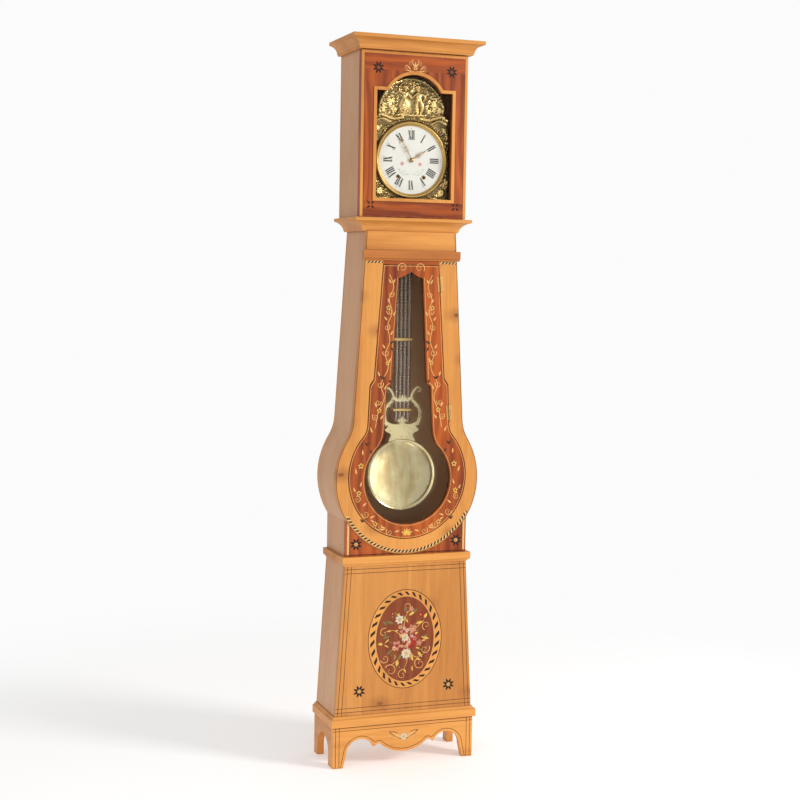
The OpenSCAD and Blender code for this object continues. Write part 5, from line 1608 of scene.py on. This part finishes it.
class CLOCK_OT_gridiron(bpy.types.Operator):
    """Twisted steel rods between plain brass rods painted dark bronze as painted shade between them, held by
    crossbars
    """
    bl_idname = "clock.gridiron"
    bl_label = "Pendulum rods"

    def execute(self, context):
        low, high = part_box("gridiron")
        pitch, y, cap = 13.7 * MM, (low.y + high.y) / 2, 8 * MM
        tall = high.z - low.z - cap
        rod = twisted_strand(1.95 * MM, tall, round(tall / (20 * MM)), 12)
        strands = [rod]
        for k in range(1, 8):
            clear_selection()
            rod.select_set(True)
            context.view_layer.objects.active = rod
            bpy.ops.object.duplicate()
            strand = context.object
            strand.rotation_euler.z = math.pi * (k % 2)
            strand.location.x = pitch * (k // 2)
            strands.append(strand)
        clear_selection()
        for strand in strands:
            strand.select_set(True)
        context.view_layer.objects.active = rod
        bpy.ops.object.join()
        rod.location = (-1.5 * pitch, y, low.z)
        settle(rod, "twisted_rods", "steel", "pendulum", 60)
        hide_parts("gridiron")
        # Painted shade: the plain rods are painted dark bronze so they read as the shade in the gaps between
        # the twisted rods.
        for i in range(-2, 3):
            turned_rod("plain_rod_in_painted_shade_" + str(i + 3), i * pitch, y, low.z, high.z - cap, 1.6 * MM)
        bars = []
        half = 2.3 * pitch
        for z, h in ((high.z - cap, cap), (BOB_Z + 430 * MM, 10 * MM), (BOB_Z + 205 * MM, 8 * MM)):
            bars.append([(-half, z), (half, z), (half, z + h), (-half, z + h)])
        plate("gridiron_bars", bars, low.y, high.y - low.y, "works", "pendulum", 1.2 * MM)
        return {"FINISHED"}


def turned_rod(name, x, y, z0, z1, r):
    """A plain rod with small collars, drawn out ring by ring."""
    clear_selection()
    bpy.ops.mesh.primitive_circle_add(vertices=12, radius=r, location=(x, y, z0), fill_type="NGON")
    rod = bpy.context.object
    bpy.ops.object.transform_apply(location=True)
    bpy.ops.object.mode_set(mode="EDIT")
    bpy.ops.mesh.select_all(action="SELECT")
    at = z0
    for share in (0.25, 0.5, 0.75):
        z = z0 + (z1 - z0) * share
        for step, grow in ((z - at, 1.0), (0.5 * MM, 1.5), (2.5 * MM, 1.0), (0.5 * MM, 1 / 1.5)):
            bpy.ops.mesh.extrude_region_move(TRANSFORM_OT_translate={"value": (0, 0, step)})
            if grow != 1.0:
                bpy.ops.transform.resize(value=(grow, grow, 1), center_override=(x, y, at + step))
            at += step
    bpy.ops.mesh.extrude_region_move(TRANSFORM_OT_translate={"value": (0, 0, z1 - at)})
    bpy.ops.mesh.select_all(action="SELECT")
    bpy.ops.mesh.normals_make_consistent(inside=False)
    bpy.ops.object.mode_set(mode="OBJECT")
    # Painted shade: the dark bronze stands for the shade between the twisted rods.
    return settle(rod, name, "bronze", "pendulum", 50)


STEPS = ("stage", "finish_woodwork", "weight_cords", "base_inlay", "case_inlay", "door_inlay", "hood_inlay",
         "bob", "apron_inlay", "embossed_front", "dial", "bezel", "hands", "lyre", "gridiron")


class CLOCK_PT_pieces(bpy.types.Panel):
    """Settings of the clock and its pieces, in the order they are made"""
    bl_idname = "CLOCK_PT_pieces"
    bl_label = "Grandfather Clock"
    bl_space_type = "VIEW_3D"
    bl_region_type = "UI"
    bl_category = "Clock"

    def draw(self, context):
        for group in (context.scene.clock_woods, context.scene.clock_metals, context.scene.clock_dial):
            for setting in group.__annotations__:
                self.layout.prop(group, setting)
        for step in STEPS:
            self.layout.operator("clock." + step)


CLASSES = [
    ClockWoods, ClockMetals, ClockDial, CLOCK_OT_stage, CLOCK_OT_finish_woodwork, CLOCK_OT_weight_cords,
    CLOCK_OT_base_inlay, CLOCK_OT_case_inlay, CLOCK_OT_door_inlay, CLOCK_OT_hood_inlay, CLOCK_OT_bob,
    CLOCK_OT_apron_inlay, CLOCK_OT_embossed_front, CLOCK_OT_dial, CLOCK_OT_bezel, CLOCK_OT_hands,
    CLOCK_OT_lyre, CLOCK_OT_gridiron, CLOCK_PT_pieces]


def register():
    for cls in CLASSES:
        bpy.utils.register_class(cls)
    bpy.types.Scene.clock_woods = bpy.props.PointerProperty(type=ClockWoods)
    bpy.types.Scene.clock_metals = bpy.props.PointerProperty(type=ClockMetals)
    bpy.types.Scene.clock_dial = bpy.props.PointerProperty(type=ClockDial)


def unregister():
    del bpy.types.Scene.clock_dial
    del bpy.types.Scene.clock_metals
    del bpy.types.Scene.clock_woods
    for cls in reversed(CLASSES):
        bpy.utils.unregister_class(cls)


def main():
    register()
    for step in STEPS:
        getattr(bpy.ops.clock, step)()


if __name__ == "__main__":
    main()
